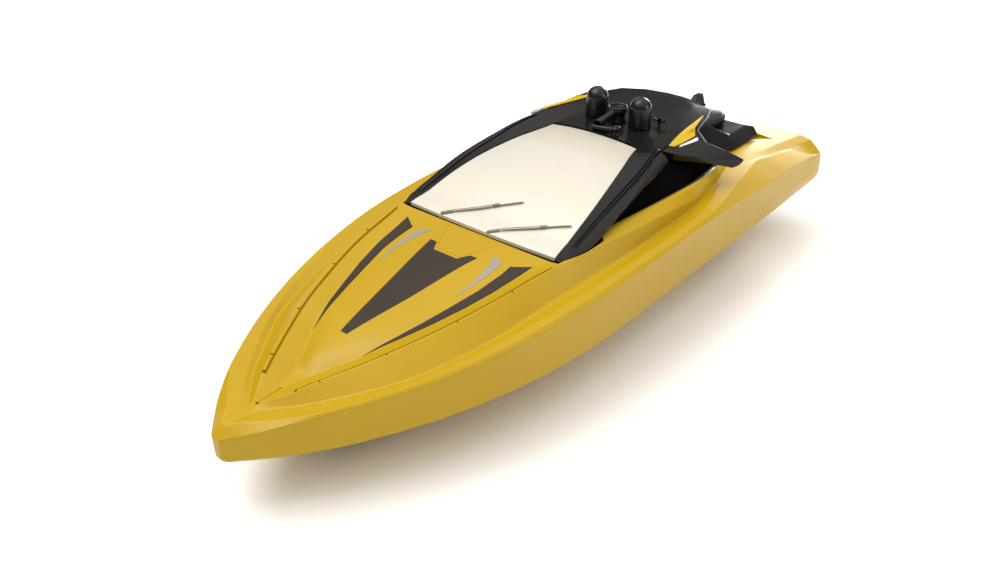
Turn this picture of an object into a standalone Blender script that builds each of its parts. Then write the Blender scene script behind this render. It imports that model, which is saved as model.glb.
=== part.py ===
"""Radio-controlled toy speedboat: twin-screw hull, lift-up cabin with lock knob.

Frame: +Y points to the stern, -Y to the bow, +X to port, +Z up. The origin is under the
middle of the boat, on the plane that its keel pad stands on. Lengths below are in
millimetres and are scaled to metres when a mesh is made.
"""
import bpy
import bmesh
import numpy as np
from math import cos, pi, radians, sin

MM = 0.001
GAP = 0.3                      # clearance between pieces that touch

# ---------------------------------------------------------------- driving dimensions
BOW_Y, STERN_Y = -125.0, 125.0
SKIN = 1.6                     # moulded wall of the hull and the deck
CHINE_Z = 16.6
HATCH_FRONT, HATCH_REAR = -26.9, 104.0
LIP = 1.2                      # deck ledge between the window line and the hatch opening

SHAFT_X, PROP_Y, PROP_Z = 17.0, 115.0, 10.5
SHAFT_RAKE = radians(6.5)      # propeller shafts fall towards the stern
SHAFT_R = 1.0
PROP_R = 9.0
TUNNEL_R, TUNNEL_FRONT = 11.0, 107.0
MOTOR_R, MOTOR_NEAR, MOTOR_FAR = 9.6, 58.0, 84.0
TUBE_R, TUBE_NEAR, TUBE_FAR = 2.0, 7.0, 38.0

KNOB_Y, KNOB_R, KNOB_TOP, KNOB_THICK = 98.0, 14.2, 44.9, 2.6
KNOB_STEM_R = 3.0
CAM_TOP, CAM_THICK, CAM_REACH = 35.8, 2.0, 10.0

ROOF_THICK = 2.0
GLASS_THICK = 1.2
DOME_X, DOME_Y, DOME_R, DOME_TOP = 8.9, 48.1, 3.8, 66.2
CAP_R, CAP_TOP = 3.45, 61.1

# Lengthwise lines of the hull and deck, as (y, x, z) points on the port side.
KEEL = [(-125, 0.5, 16.4), (-121, 0.9, 15.0), (-117, 1.4, 13.2), (-112, 2.2, 10.9), (-105, 3.6, 8.0),
        (-95, 6, 5.2), (-85, 7.7, 2.2), (-74, 9.2, 0.0), (-40, 12, 0.0), (125, 12, 0.0)]
CHINE = [(-125, 1.2, 16.7), (-116.8, 8.4, CHINE_Z), (-102, 19, CHINE_Z), (-84.8, 27.9, CHINE_Z),
         (-64.7, 35.5, CHINE_Z), (-40, 41, CHINE_Z), (-6, 43.2, CHINE_Z), (38, 42.9, CHINE_Z),
         (92, 42.3, CHINE_Z), (125, 41.4, CHINE_Z)]
QUARTER = [(-125, 0, 0), (60, 0, 0), (100, 1.0, 0), (115, 2.2, 0), (125, 2.6, 0)]  # fullness of the side
SHEER = [(-125, 1.6, 24.2), (-117.7, 8.8, 26.1), (-110, 15, 27.9), (-97.6, 23.1, 29.4),
         (-78.6, 32.8, 31.2), (-55.6, 40.4, 33.6), (-34.4, 44.5, 35.6), (-7, 46.8, 37.2),
         (36, 47.2, 38.4), (56, 47.0, 37.6), (80, 46.8, 36.3), (103, 46.6, 35.2), (112, 46.3, 34.0),
         (121, 45.8, 31.6), (125, 44.7, 29.9)]
RAIL_OUT = [(-125, 1.5, 24.25), (-120.7, 2.2, 27.0), (-114, 9.2, 27.7), (-108, 15.6, 28.8),
            (-97.6, 22.4, 30.0), (-78.6, 32.0, 31.9), (-55.6, 39.6, 34.3), (-34.4, 43.6, 36.5),
            (-7, 45.8, 38.2), (20, 46.3, 38.9), (36, 46.0, 39.4), (45, 44.6, 39.5), (59, 41.8, 39.5),
            (76, 38.7, 39.4), (84.6, 36.8, 39.0), (96, 38.5, 37.5), (107.6, 40.6, 36.1),
            (113, 45.2, 34.1), (121, 45.2, 32.3), (125, 43.9, 31.4)]
RAIL_IN = [(-125, 1.2, 24.3), (-120.7, 1.9, 27.05), (-113.5, 4.5, 27.2), (-105.6, 11.6, 28.0),
           (-96.5, 18.9, 29.2), (-78.6, 29.6, 31.6), (-55.6, 37.0, 34.4), (-34.4, 40.9, 36.7),
           (-7, 43.1, 38.5), (20, 43.8, 39.2), (34, 42.8, 39.5), (43, 41.2, 39.5), (55, 37.9, 39.5),
           (69, 36.2, 39.4), (80, 35.4, 39.2), (107, 38.4, 36.6), (125, 40.0, 35.2)]
FLOOR = [(-125, 1.0, 24.3), (-120.7, 1.4, 27.05), (-113.5, 2.4, 26.6), (-105.6, 9.6, 27.1),
         (-96.5, 16.6, 28.1), (-84.5, 24.5, 29.5), (-74, 28.7, 30.8), (-55.5, 33.5, 33.0),
         (-40.5, 35.6, 34.7), (-24.5, 37.3, 35.9), (4, 39.0, 37.0), (31, 37.6, 37.9),
         (46, 37.4, 38.9), (54, 36.8, 39.4), (69, 34.6, 39.3), (85, 33.3, 39.0), (125, 35.8, 36.3)]
CREST = [(-125, 0.8, 24.3), (-120.7, 1.0, 27.05), (-113.5, 0.8, 27.2), (-108, 4.0, 28.7),
         (-103.7, 7.0, 30.1), (-98.7, 9.7, 31.3), (-89.2, 14.6, 33.1), (-79.2, 19.2, 35.1),
         (-68.1, 23.2, 36.9), (-49.4, 28.3, 40.0), (-34.9, 30.8, 41.7), (-24, 32.9, 42.6),
         (-11.5, 34.9, 43.0), (6.3, 37.3, 43.0), (27, 38.6, 42.2), (40, 38.3, 41.0),
         (52, 36.8, 39.9), (62, 34.8, 39.6), (85, 29.5, 39.1), (125, 30.0, 36.7)]
INNER = [(-125, 0.6, 24.3), (-120.7, 0.7, 27.05), (-113.5, 0.4, 27.1), (-103.7, 1.2, 27.6),
         (-98, 2.6, 28.0), (-92.7, 5.0, 29.1), (-84.6, 9.7, 31.0), (-79.7, 12.1, 32.4),
         (-66, 17.4, 34.8), (-47, 22.8, 38.0), (-31, 25.6, 40.7), (-26, 28.9, 42.1),
         (-22.5, 31.2, 42.7), (-6, 32.4, 44.3), (10.6, 34.3, 44.8), (31.3, 36.1, 44.9),
         (43, 36.6, 44.8), (56, 34.6, 44.2), (68, 30.5, 41.6), (78, 27.5, 39.6), (88, 26.0, 39.0),
         (125, 26.0, 36.8)]
CENTRE = [(-125, 0, 24.3), (-120.7, 0, 27.05), (-113.5, 0, 27.15), (-98.2, 0, 27.8),
          (-92, 0, 30.6), (-81.7, 0, 33.3), (-60, 0, 37.1), (-41, 0, 40.4), (-27, 0, 41.8),
          (-20, 0, 43), (56, 0, 44), (80, 0, 39.9), (104, 0, 38.5), (125, 0, 36.9)]
STATIONS = [-125, -120.7, -117, -113.5, -110, -106, -103, -98.2, -95, -91, -85, -78, -70, -62,
            -54, -46, -38, -31, -26, -21, -14, -6, 4, 14, 24, 34, 42, 48, 54, 60, 66, 76, 85, 93,
            101, 107, 113, 119, 125]

# Half-width of the hatch opening, and the lines of the cabin.
HATCH = [(-26.9, 28.2, 0), (-22.5, 30.0, 0), (-6, 31.2, 0), (10.6, 33.1, 0), (31.3, 34.9, 0),
         (43, 35.4, 0), (58, 33.4, 0), (72, 29.0, 0), (84, 24.6, 0), (104, 22.0, 0)]
ROOF_MID = [(-26.8, 0, 42.0), (-17, 0, 46.2), (-8.2, 0, 49.3), (1.5, 0, 52.0), (17.5, 0, 54.9),
            (34.2, 0, 55.9), (48, 0, 55.7), (66, 0, 55.5), (86.5, 0, 54.6)]
GLASS_EDGE = [(-25.8, 28.9, 42.2), (-17, 27.9, 45.2), (-8.2, 26.9, 48.0), (1.5, 25.3, 50.5),
              (17.5, 21.6, 53.3), (34.2, 17.2, 54.8), (60, 16, 55.6), (78, 12.5, 55.2),
              (86.5, 1.6, 54.6)]
ROOF_EDGE = [(-25.8, 30.9, 42.2), (-22.5, 32.4, 42.7), (-11.6, 34.0, 44.8), (0.6, 33.3, 48.6),
             (14.7, 31.0, 52.2), (34.1, 26.2, 56.0), (48, 25.3, 56.0), (60, 24.4, 55.6),
             (78, 19.5, 55.0), (84, 11.5, 54.8), (86.5, 3.2, 54.6)]
CABIN_STATIONS = [-25.8, -21, -15, -8, 0, 8, 17, 26, 34.2, 42, 50, 60, 70, 78, 84, 86.5]


# ---------------------------------------------------------------- helpers
def clear_scene():
    for ob in list(bpy.data.objects):
        bpy.data.objects.remove(ob, do_unlink=True)


def track(points, y):
    """Smooth (x, z) of a lengthwise line at y, by cubic spans through its points."""
    p = np.array(points, float)
    y = float(np.clip(y, p[0, 0], p[-1, 0]))
    slope = np.gradient(p[:, 1:], p[:, 0], axis=0)
    step = np.diff(p[:, 1:], axis=0) / np.diff(p[:, 0])[:, None]
    before, after = np.vstack((step[:1], step)), np.vstack((step, step[-1:]))
    limit = np.where(before * after > 0, 3 * np.minimum(abs(before), abs(after)), 0)
    slope = np.clip(slope, -limit, limit)
    i = int(np.clip(np.searchsorted(p[:, 0], y) - 1, 0, len(p) - 2))
    h = p[i + 1, 0] - p[i, 0]
    t = (y - p[i, 0]) / h
    value = ((2 * t**3 - 3 * t**2 + 1) * p[i, 1:] + (t**3 - 2 * t**2 + t) * h * slope[i]
             + (3 * t**2 - 2 * t**3) * p[i + 1, 1:] + (t**3 - t**2) * h * slope[i + 1])
    return float(value[0]), float(value[1])


def make_material(name, colour, roughness, metallic=0.0):
    mat = bpy.data.materials.new(name)
    mat.use_nodes = True
    bsdf = mat.node_tree.nodes["Principled BSDF"]
    bsdf.inputs["Base Color"].default_value = (*colour, 1.0)
    bsdf.inputs["Roughness"].default_value = roughness
    bsdf.inputs["Metallic"].default_value = metallic
    mat.diffuse_color = (*colour, 1.0)
    return mat


FINISHES = {
    "yellow": ((0.80, 0.52, 0.02), 0.35, 0.0),
    "black": ((0.018, 0.017, 0.016), 0.35, 0.0),
    "film": ((0.82, 0.78, 0.70), 0.22, 0.9),
    "steel": ((0.55, 0.55, 0.56), 0.30, 1.0),
    "brass": ((0.62, 0.44, 0.18), 0.30, 1.0),
    "rubber": ((0.02, 0.02, 0.02), 0.70, 0.0),
    "grey": ((0.25, 0.25, 0.26), 0.50, 0.0),
    "blue": ((0.03, 0.12, 0.40), 0.40, 0.0),
    "green": ((0.02, 0.18, 0.08), 0.45, 0.0),
    "white": ((0.75, 0.75, 0.72), 0.45, 0.0),
}
boat = None
cutters = None


def finish(ob, finish_name, collection=None):
    colour, roughness, metallic = FINISHES[finish_name]
    ob.data.materials.clear()
    ob.data.materials.append(make_material(ob.name + "_" + finish_name, colour, roughness, metallic))
    (collection or boat).objects.link(ob)
    return ob


def from_bmesh(name, bm, finish_name="grey", collection=None, smooth=True):
    bmesh.ops.remove_doubles(bm, verts=bm.verts, dist=1e-4)
    bmesh.ops.dissolve_degenerate(bm, edges=bm.edges, dist=1e-4)
    bmesh.ops.recalc_face_normals(bm, faces=bm.faces)
    bmesh.ops.scale(bm, vec=(MM, MM, MM), verts=bm.verts)
    mesh = bpy.data.meshes.new(name)
    bm.to_mesh(mesh)
    bm.free()
    if smooth:
        mesh.shade_smooth()
        mesh.set_sharp_from_angle(angle=radians(28))
    return finish(bpy.data.objects.new(name, mesh), finish_name, collection)


def loft(name, rings, finish_name="grey", collection=None):
    """Closed solid through equal-length rings of (x, y, z), with both ends capped."""
    bm = bmesh.new()
    rows = [[bm.verts.new(p) for p in ring] for ring in rings]
    n = len(rows[0])
    for a, b in zip(rows, rows[1:]):
        for i in range(n):
            bm.faces.new((a[i], a[(i + 1) % n], b[(i + 1) % n], b[i]))
    bm.faces.new(rows[0])
    bm.faces.new(rows[-1][::-1])
    return from_bmesh(name, bm, finish_name, collection)


def slab(name, rows, thick, finish_name):
    """Closed sheet: a grid of top points over the same grid lowered by its thickness."""
    bm = bmesh.new()
    top = [[bm.verts.new(p) for p in row] for row in rows]
    low = [[bm.verts.new((x, y, z - thick)) for x, y, z in row] for row in rows]
    last_row, last_col = len(rows) - 1, len(rows[0]) - 1
    for i in range(last_row):
        for j in range(last_col):
            bm.faces.new((top[i][j], top[i][j + 1], top[i + 1][j + 1], top[i + 1][j]))
            bm.faces.new((low[i][j], low[i + 1][j], low[i + 1][j + 1], low[i][j + 1]))
    rim = ([(0, j) for j in range(last_col)] + [(i, last_col) for i in range(last_row)]
           + [(last_row, j) for j in range(last_col, 0, -1)] + [(i, 0) for i in range(last_row, 0, -1)])
    for (i, j), (k, m) in zip(rim, rim[1:] + rim[:1]):
        bm.faces.new((top[i][j], low[i][j], low[k][m], top[k][m]))
    return from_bmesh(name, bm, finish_name)


def prism(name, outline, y0, y1, finish_name="grey", collection=None):
    """Outline of (x, z) points pushed along Y."""
    return loft(name, [[(x, y0, z) for x, z in outline], [(x, y1, z) for x, z in outline]],
                finish_name, collection)


def block(name, low, high, finish_name="grey", bevel=0.0, collection=None):
    bm = bmesh.new()
    bmesh.ops.create_cube(bm, size=1.0)
    size = [b - a for a, b in zip(low, high)]
    bmesh.ops.scale(bm, vec=size, verts=bm.verts)
    bmesh.ops.translate(bm, vec=[(a + b) / 2 for a, b in zip(low, high)], verts=bm.verts)
    if bevel:
        bmesh.ops.bevel(bm, geom=list(bm.edges), offset=bevel, segments=2, affect="EDGES")
    return from_bmesh(name, bm, finish_name, collection)


def turned(name, profile, finish_name, parent=None, steps=24, collection=None):
    """Solid of revolution about Z from (r, z) points; a profile off the axis is a closed loop."""
    mesh = bpy.data.meshes.new(name)
    points = [(r * MM, 0.0, z * MM) for r, z in profile]
    edges = [(i, i + 1) for i in range(len(points) - 1)]
    if profile[0][0] > 0:
        edges.append((len(points) - 1, 0))
    mesh.from_pydata(points, edges, [])
    ob = bpy.data.objects.new(name, mesh)
    screw = ob.modifiers.new("turn", "SCREW")
    screw.steps = steps
    screw.render_steps = steps
    screw.use_merge_vertices = True
    screw.merge_threshold = 1e-6
    screw.use_smooth_shade = True
    finish(ob, finish_name, collection)
    ob.parent = parent
    return ob


def ring_profile(inner, outer, top, bottom):
    """Closed profile of a sleeve: outside wall downwards, then back up the bore."""
    return [(inner, top), (outer, top), (outer, bottom), (inner, bottom)]


def rod_profile(radius, top, bottom):
    return [(0, top), (radius, top), (radius, bottom), (0, bottom)]


def tube(name, points, radius, finish_name, sides=2, cyclic=False):
    """Round rod along a poly line, turned into a mesh with welded caps."""
    curve = bpy.data.curves.new(name + "_path", "CURVE")
    curve.dimensions = "3D"
    curve.bevel_depth = radius * MM
    curve.bevel_resolution = sides
    curve.use_fill_caps = not cyclic
    spline = curve.splines.new("POLY")
    spline.points.add(len(points) - 1)
    for point, co in zip(spline.points, points):
        point.co = (*[c * MM for c in co], 1.0)
    spline.use_cyclic_u = cyclic
    guide = bpy.data.objects.new(name + "_path", curve)
    boat.objects.link(guide)
    bpy.context.view_layer.update()
    mesh = bpy.data.meshes.new_from_object(guide.evaluated_get(bpy.context.evaluated_depsgraph_get()))
    bpy.data.objects.remove(guide, do_unlink=True)
    bm = bmesh.new()
    bm.from_mesh(mesh)
    bmesh.ops.remove_doubles(bm, verts=bm.verts, dist=1e-7)
    bmesh.ops.recalc_face_normals(bm, faces=bm.faces)
    bm.to_mesh(mesh)
    bm.free()
    mesh.name = name
    return finish(bpy.data.objects.new(name, mesh), finish_name)


def boolean(ob, cutter, operation="DIFFERENCE"):
    mod = ob.modifiers.new(cutter.name, "BOOLEAN")
    mod.operation = operation
    mod.solver = "EXACT"
    mod.object = cutter
    cutter.hide_render = True
    cutter.display_type = "WIRE"
    return ob


def place(name, location, tilt=0.0, parent=None):
    empty = bpy.data.objects.new(name, None)
    empty.location = [c * MM for c in location]
    empty.rotation_euler = (tilt, 0.0, 0.0)
    empty.parent = parent
    boat.objects.link(empty)
    return empty


def mirrored(points):
    """Port points followed by their starboard mirror images, as one closed outline."""
    return points + [(-x, z) for x, z in reversed(points) if x > 0]


# ---------------------------------------------------------------- hull and deck
def hull_ring(y, inset=0.0, floor=None, rise=0.0):
    kx, kz = track(KEEL, y)
    cx, cz = track(CHINE, y)
    sx, sz = track(SHEER, y)
    mx, mz = cx + 0.4 * (sx - cx) + track(QUARTER, y)[0], cz + 0.4 * (sz - cz)
    top = sz - SKIN - GAP + rise
    if inset:
        kx, kz = max(kx - 0.4 * inset, 0.2), kz + 1.1 * inset
        cx, cz = max(cx - 1.15 * inset, 0.3), cz + 0.6 * inset
        mx, sx = max(mx - 1.1 * inset, 0.35), max(sx - inset, 0.4)
    if floor is not None:
        kz = floor
        cz, mz = max(cz, floor + 0.1), max(mz, floor + 0.3)
    side = [(kx, kz), (cx, cz), (mx, mz), (sx, top)]
    return [(x, y, z) for x, z in side] + [(-x, y, z) for x, z in reversed(side)]


def build_hull():
    hull = loft("hull_shell", [hull_ring(y) for y in STATIONS], "yellow")
    inner = [hull_ring(y, SKIN, rise=8) for y in STATIONS if -117 <= y < 101]
    inner.append(hull_ring(103.5, SKIN, rise=8))
    stern = [hull_ring(y, SKIN, floor=TUNNEL_R + PROP_Z + 2.4, rise=8) for y in (100, 107, 113, 119, 123)]
    boolean(hull, loft("hull_bay_cutter", inner, collection=cutters))
    boolean(hull, loft("hull_stern_cutter", stern, collection=cutters))
    for side, tag in ((1, "l"), (-1, "r")):
        axis = place("shaft_line_cut_" + tag, (side * SHAFT_X, PROP_Y, PROP_Z), pi / 2 - SHAFT_RAKE)
        reach = PROP_Y - TUNNEL_FRONT
        boolean(hull, turned("tunnel_cutter_" + tag, rod_profile(TUNNEL_R, reach, -25), "grey",
                             axis, 32, cutters))
        boolean(hull, turned("tube_hole_cutter_" + tag, rod_profile(TUBE_R + GAP, 30, 2), "grey",
                             axis, 20, cutters))
        boolean(hull, turned("sensor_hole_cutter_" + tag, rod_profile(1.3, 6, -3), "grey",
                             place("sensor_hole_" + tag, (side * 4, 72, 0)), 16, cutters))
    return hull


def deck_row(y):
    lines = (SHEER, RAIL_OUT, RAIL_IN, FLOOR, CREST, INNER)
    port = [track(line, y) for line in lines]
    port = [(max(x, 0.0), z) for x, z in port]
    for i in range(1, len(port)):
        port[i] = (min(port[i][0], max(port[i - 1][0] - 0.3, 0.0)), port[i][1])
    centre = track(CENTRE, y)
    row = port + [centre] + [(-x, z) for x, z in reversed(port)]
    return [(x, y, z) for x, z in row]


def build_deck():
    deck = slab("deck_shell", [deck_row(y) for y in STATIONS], SKIN, "yellow")
    rings = []
    for y in (-26.9, -23, -19, -15, -11, -7.5, -5, -4.6, 4, 14, 24, 34, 43, 52, 58, 65, 72, 78, 84, 95, 104):
        half = track(ROOF_EDGE, y)[0] + GAP if y <= -5 else track(HATCH, y)[0]
        rings.append([(half, y, 20), (half, y, 60), (-half, y, 60), (-half, y, 20)])
    boolean(deck, loft("hatch_cutter", rings, collection=cutters))
    return deck


def build_gasket():
    """Rubber cord seal that runs round just inside the hatch opening."""
    half = []
    for y in (-23.5, -14, -6, 4, 14, 24, 34, 43, 52, 58, 65, 72, 80, 88, 96, 103.0):
        x = track(HATCH, y)[0] - 1.3
        z = min(track(INNER, y)[1] - 1.6, 39.9 if y < -20 else 99.0)
        half.append((x, y, z))
    loop = half + [(-x, y, z) for x, y, z in reversed(half)]
    tube("hatch_gasket", loop, 0.7, "rubber", 1, cyclic=True)


# ---------------------------------------------------------------- cabin
def cabin_row(y):
    edge, glass, mid = track(ROOF_EDGE, y), track(GLASS_EDGE, y), track(ROOF_MID, y)
    port = [(glass[0] * f, mid[1] + (glass[1] - mid[1]) * f * f) for f in (0.0, 0.45, 0.9)]
    port += [((1 - t) * glass[0] + t * edge[0], (1 - t) * glass[1] + t * edge[1]) for t in (0.35, 1.0)]
    row = [(-x, z) for x, z in reversed(port[1:])] + port
    return [(x, y, z) for x, z in row]


def glass_row(y, inset):
    glass, mid = track(GLASS_EDGE, y), track(ROOF_MID, y)
    half = glass[0] - inset
    bow = 1.0 if y < -25 else 0.0
    steps = [-1, -0.75, -0.5, -0.25, 0, 0.25, 0.5, 0.75, 1]
    return [(half * f, y - bow * (1 - f * f), mid[1] + (glass[1] - mid[1]) * f * f) for f in steps]


def build_cabin():
    shell = slab("canopy_shell", [cabin_row(y) for y in CABIN_STATIONS], ROOF_THICK, "black")
    opening = []
    for y in (-29, -25.8, -18, -11.5, -4, 4, 12, 22, 30, 33.9):
        half = track(GLASS_EDGE, y)[0]
        opening.append([(half, y, 30), (half, y, 70), (-half, y, 70), (-half, y, 30)])
    boolean(shell, loft("screen_cutter", opening, collection=cutters))
    rows = [glass_row(y, GAP) for y in (-25.5, -18, -11.5, -4, 4, 12, 22, 30, 33.5)]
    slab("windscreen", rows, GLASS_THICK, "film")


def build_side_windows():
    """Recessed black panels between the screen posts and the coaming."""
    for side, tag in ((1, "l"), (-1, "r")):
        rings = []
        for y in (-4.5, 2, 8, 14, 22, 30, 38, 46, 54, 60):
            edge, sill = track(ROOF_EDGE, y), track(INNER, y)
            top = (edge[0] - 3.4, edge[1] - ROOF_THICK - GAP - 0.6)
            low = (track(HATCH, y)[0] - 2.6, sill[1] - 2.4)
            ring = [top, (top[0] - 1.2, top[1]), (low[0] - 1.2, low[1]), low]
            rings.append([(side * x, y, z) for x, z in ring])
        loft("side_window_" + tag, rings, "black")


def build_wings():
    outline = [(26.7, 34.6, 55.9), (29.6, 36.8, 54.9), (33.4, 43.0, 53.0), (41.3, 64.6, 46.9),
               (36.0, 60.5, 50.3), (30.5, 56.0, 53.2), (25.2, 59.5, 55.0), (26.0, 47.0, 55.8)]
    for side, tag in ((1, "l"), (-1, "r")):
        bm = bmesh.new()
        top = [bm.verts.new((side * x, y, z)) for x, y, z in outline]
        low = [bm.verts.new((side * x, y, z - 2.2)) for x, y, z in outline]
        n = len(outline)
        bm.faces.new(top)
        bm.faces.new(low[::-1])
        for i in range(n):
            bm.faces.new((top[i], low[i], low[(i + 1) % n], top[(i + 1) % n]))
        bmesh.ops.triangulate(bm, faces=bm.faces)
        from_bmesh("roof_wing_" + tag, bm, "black", smooth=False)


def build_roof_fittings():
    roof = 56.4
    for side, tag in ((1, "l"), (-1, "r")):
        base = place("dome_place_" + tag, (side * DOME_X, DOME_Y, 0))
        arc = [(DOME_R * cos(a), DOME_TOP - DOME_R + DOME_R * sin(a))
               for a in (radians(d) for d in (90, 72, 54, 36, 18, 0))]
        arc[0] = (0.0, DOME_TOP)
        turned("roof_dome_" + tag, arc + [(DOME_R, roof), (0, roof)], "black", base)
    turned("roof_cap", [(0, CAP_TOP), (CAP_R - 0.5, CAP_TOP), (CAP_R, CAP_TOP - 0.6), (CAP_R, CAP_TOP - 1.6),
                        (CAP_R - 0.6, CAP_TOP - 2.2), (CAP_R - 0.6, roof), (0, roof)],
           "black", place("cap_place", (0, 47.8, 0)))
    horn = place("horn_place", (0, 44.0, 59.2), radians(90 + 9))
    turned("roof_horn", [(0, 8.2), (1.5, 8.2), (1.3, 4.0), (1.2, 0.3), (0, 0.3)], "black", horn, 20)
    turned("roof_post", [(0, 58.6), (1.0, 58.6), (1.25, 58.0), (1.1, 57.2), (0.7, 56.6), (0.7, roof - 0.1),
                         (0, roof - 0.1)], "black", place("post_place", (7.0, 36.4, 0)), 16)
    stem = turned("roof_bracket", rod_profile(0.6, 58.6, roof), "black",
                  place("bracket_place", (13.4, 53.6, 0)), 12)
    boolean(stem, block("bracket_arm", (11.2, 53.2, 57.0), (15.6, 54.0, 58.0), collection=cutters), "UNION")


def build_rear_cover():
    """Black tail of the cabin: slopes down from the roof and carries the lock knob."""
    def ring(y, top_x, top_z, low_x, low_z):
        return [(low_x, y, low_z), (top_x, y, top_z), (-top_x, y, top_z), (-low_x, y, low_z)]
    outer = [(63, 20.0, 52.6, 25.6, 46.0), (78, 18.2, 50.0, 26.0, 41.2), (86, 18.6, 46.0, 26.6, 39.6),
             (93, 20.8, 42.0, 26.4, 39.2), (106, 21.0, 42.0, 25.0, 38.5), (110, 22.4, 40.6, 24.2, 38.2)]
    cover = loft("rear_cover", [ring(*section) for section in outer], "black")
    hollow = [(62, 18.4, 50.8, 24.0, 40), (78, 16.8, 48.2, 24.4, 36), (86, 17.0, 44.0, 24.6, 34),
              (92, 18.4, 40.4, 24.4, 34), (102, 18.4, 40.4, 21.6, 34)]
    boolean(cover, loft("cover_hollow_cutter", [ring(*section) for section in hollow], collection=cutters))
    axis = place("knob_recess", (0, KNOB_Y, 0))
    recess = rod_profile(KNOB_R + 0.8, 60, KNOB_TOP - KNOB_THICK - GAP)
    boolean(cover, turned("knob_recess_cutter", recess, "grey", axis, 48, cutters))
    stem_hole = rod_profile(KNOB_STEM_R + GAP, 50, 30)
    boolean(cover, turned("knob_hole_cutter", stem_hole, "grey", axis, 24, cutters))


def build_lock():
    axis = place("lock_axis", (0, KNOB_Y, 0))
    low = KNOB_TOP - KNOB_THICK
    knob = turned("lock_knob", [(0, KNOB_TOP), (KNOB_R - 0.6, KNOB_TOP), (KNOB_R, KNOB_TOP - 0.6),
                                (KNOB_R, low + 0.4), (KNOB_R - 0.5, low), (KNOB_STEM_R, low),
                                (KNOB_STEM_R, CAM_TOP + GAP), (0, CAM_TOP + GAP)], "black", axis, 40)
    fin = [[(-1.7, 96.0, KNOB_TOP - 1), (1.7, 96.0, KNOB_TOP - 1), (1.7, 108.5, KNOB_TOP - 1),
            (-1.7, 108.5, KNOB_TOP - 1)],
           [(-0.9, 102.6, 49.8), (0.9, 102.6, 49.8), (0.9, 106.8, 49.8), (-0.9, 106.8, 49.8)]]
    boolean(knob, loft("knob_fin", fin, collection=cutters), "UNION")
    cam = turned("lock_cam", rod_profile(4.0, CAM_TOP, CAM_TOP - CAM_THICK), "steel", axis, 24)
    boolean(cam, block("cam_arm", (0, KNOB_Y - 2.6, CAM_TOP - CAM_THICK + 0.15),
                       (CAM_REACH, KNOB_Y + 2.6, CAM_TOP - 0.15), collection=cutters), "UNION")
    turned("lock_screw", [(0, CAM_TOP - CAM_THICK - GAP), (2.0, CAM_TOP - CAM_THICK - GAP),
                          (2.0, CAM_TOP - CAM_THICK - 1.2), (1.2, CAM_TOP - CAM_THICK - 1.7),
                          (0, CAM_TOP - CAM_THICK - 1.7)], "steel", axis, 20)


def build_wipers():
    """Two slim arms that lie on the screen, each a bent rod from its pivot to its tip."""
    for tag, start, mid, end in (("r", (-14.0, -25.2), (-1.1, -16.0), (5.4, -12.0)),
                                 ("l", (5.2, -25.6), (18.2, -17.0), (24.6, -13.2))):
        points = []
        for x, y in (start, mid, end):
            glass, roof = track(GLASS_EDGE, y), track(ROOF_MID, y)
            f = x / glass[0]
            points.append((x, y, roof[1] + (glass[1] - roof[1]) * f * f + 0.85))
        tube("wiper_" + tag, points, 0.4, "grey", 1)


# ---------------------------------------------------------------- drive train
def build_drive(side, tag):
    axis = place("shaft_axis_" + tag, (side * SHAFT_X, PROP_Y, PROP_Z), pi / 2 - SHAFT_RAKE)
    turned("motor_can_" + tag, [(0, MOTOR_FAR), (MOTOR_R - 1, MOTOR_FAR), (MOTOR_R, MOTOR_FAR - 1),
                                (MOTOR_R, MOTOR_NEAR + 1), (MOTOR_R - 1, MOTOR_NEAR), (3.2, MOTOR_NEAR),
                                (3.2, MOTOR_NEAR - 1.2), (0, MOTOR_NEAR - 1.2)], "steel", axis, 32)
    turned("motor_endbell_" + tag, [(0, MOTOR_FAR + 7), (3, MOTOR_FAR + 7), (3, MOTOR_FAR + 5),
                                    (8.4, MOTOR_FAR + 5), (9.2, MOTOR_FAR + 4), (9.2, MOTOR_FAR + GAP),
                                    (0, MOTOR_FAR + GAP)], "white", axis, 32)
    turned("drive_coupling_" + tag, [(0, 56.4), (2.4, 56.4), (2.4, 51), (1.7, 50.4), (1.7, 47), (2.4, 46.4),
                                     (2.4, 42.3), (0, 42.3)], "rubber", axis, 20)
    turned("prop_shaft_" + tag, rod_profile(SHAFT_R, 42.0, -4.0), "steel", axis, 16)
    turned("stern_tube_" + tag, ring_profile(SHAFT_R + GAP, TUBE_R, TUBE_FAR, TUBE_NEAR), "brass", axis, 20)
    turned("stern_bush_" + tag, ring_profile(SHAFT_R + GAP, 2.9, TUBE_NEAR - GAP, 4.6), "white", axis, 20)
    hub = turned("propeller_" + tag, ring_profile(SHAFT_R + GAP, 2.5, 3.4, -3.6), "white", axis, 24)
    for k in range(3):
        boolean(hub, propeller_blade("blade_" + tag + str(k), axis, side, k), "UNION")
    turned("prop_nut_" + tag, [(0, -4.3), (2.0, -4.3), (2.0, -6.0), (1.2, -7.2), (0, -7.2)], "brass", axis, 6)


def propeller_blade(name, axis, side, k):
    """Twisted paddle from the hub out to the blade tip, as a loft of flat sections."""
    rings = []
    for r, half, pitch in ((1.9, 2.2, 52), (4.5, 3.6, 40), (7.2, 3.4, 30), (PROP_R, 1.4, 24)):
        a = radians(pitch) * side
        section = []
        for u, v in ((-half, -0.4), (half, -0.4), (half, 0.4), (-half, 0.4)):
            section.append((r, u * cos(a) - v * sin(a), u * sin(a) + v * cos(a)))
        rings.append(section)
    blade = loft(name, rings, collection=cutters)
    blade.parent = axis
    blade.rotation_euler = (0.0, 0.0, radians(120 * k + 60 + 33 * side))
    return blade


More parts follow.
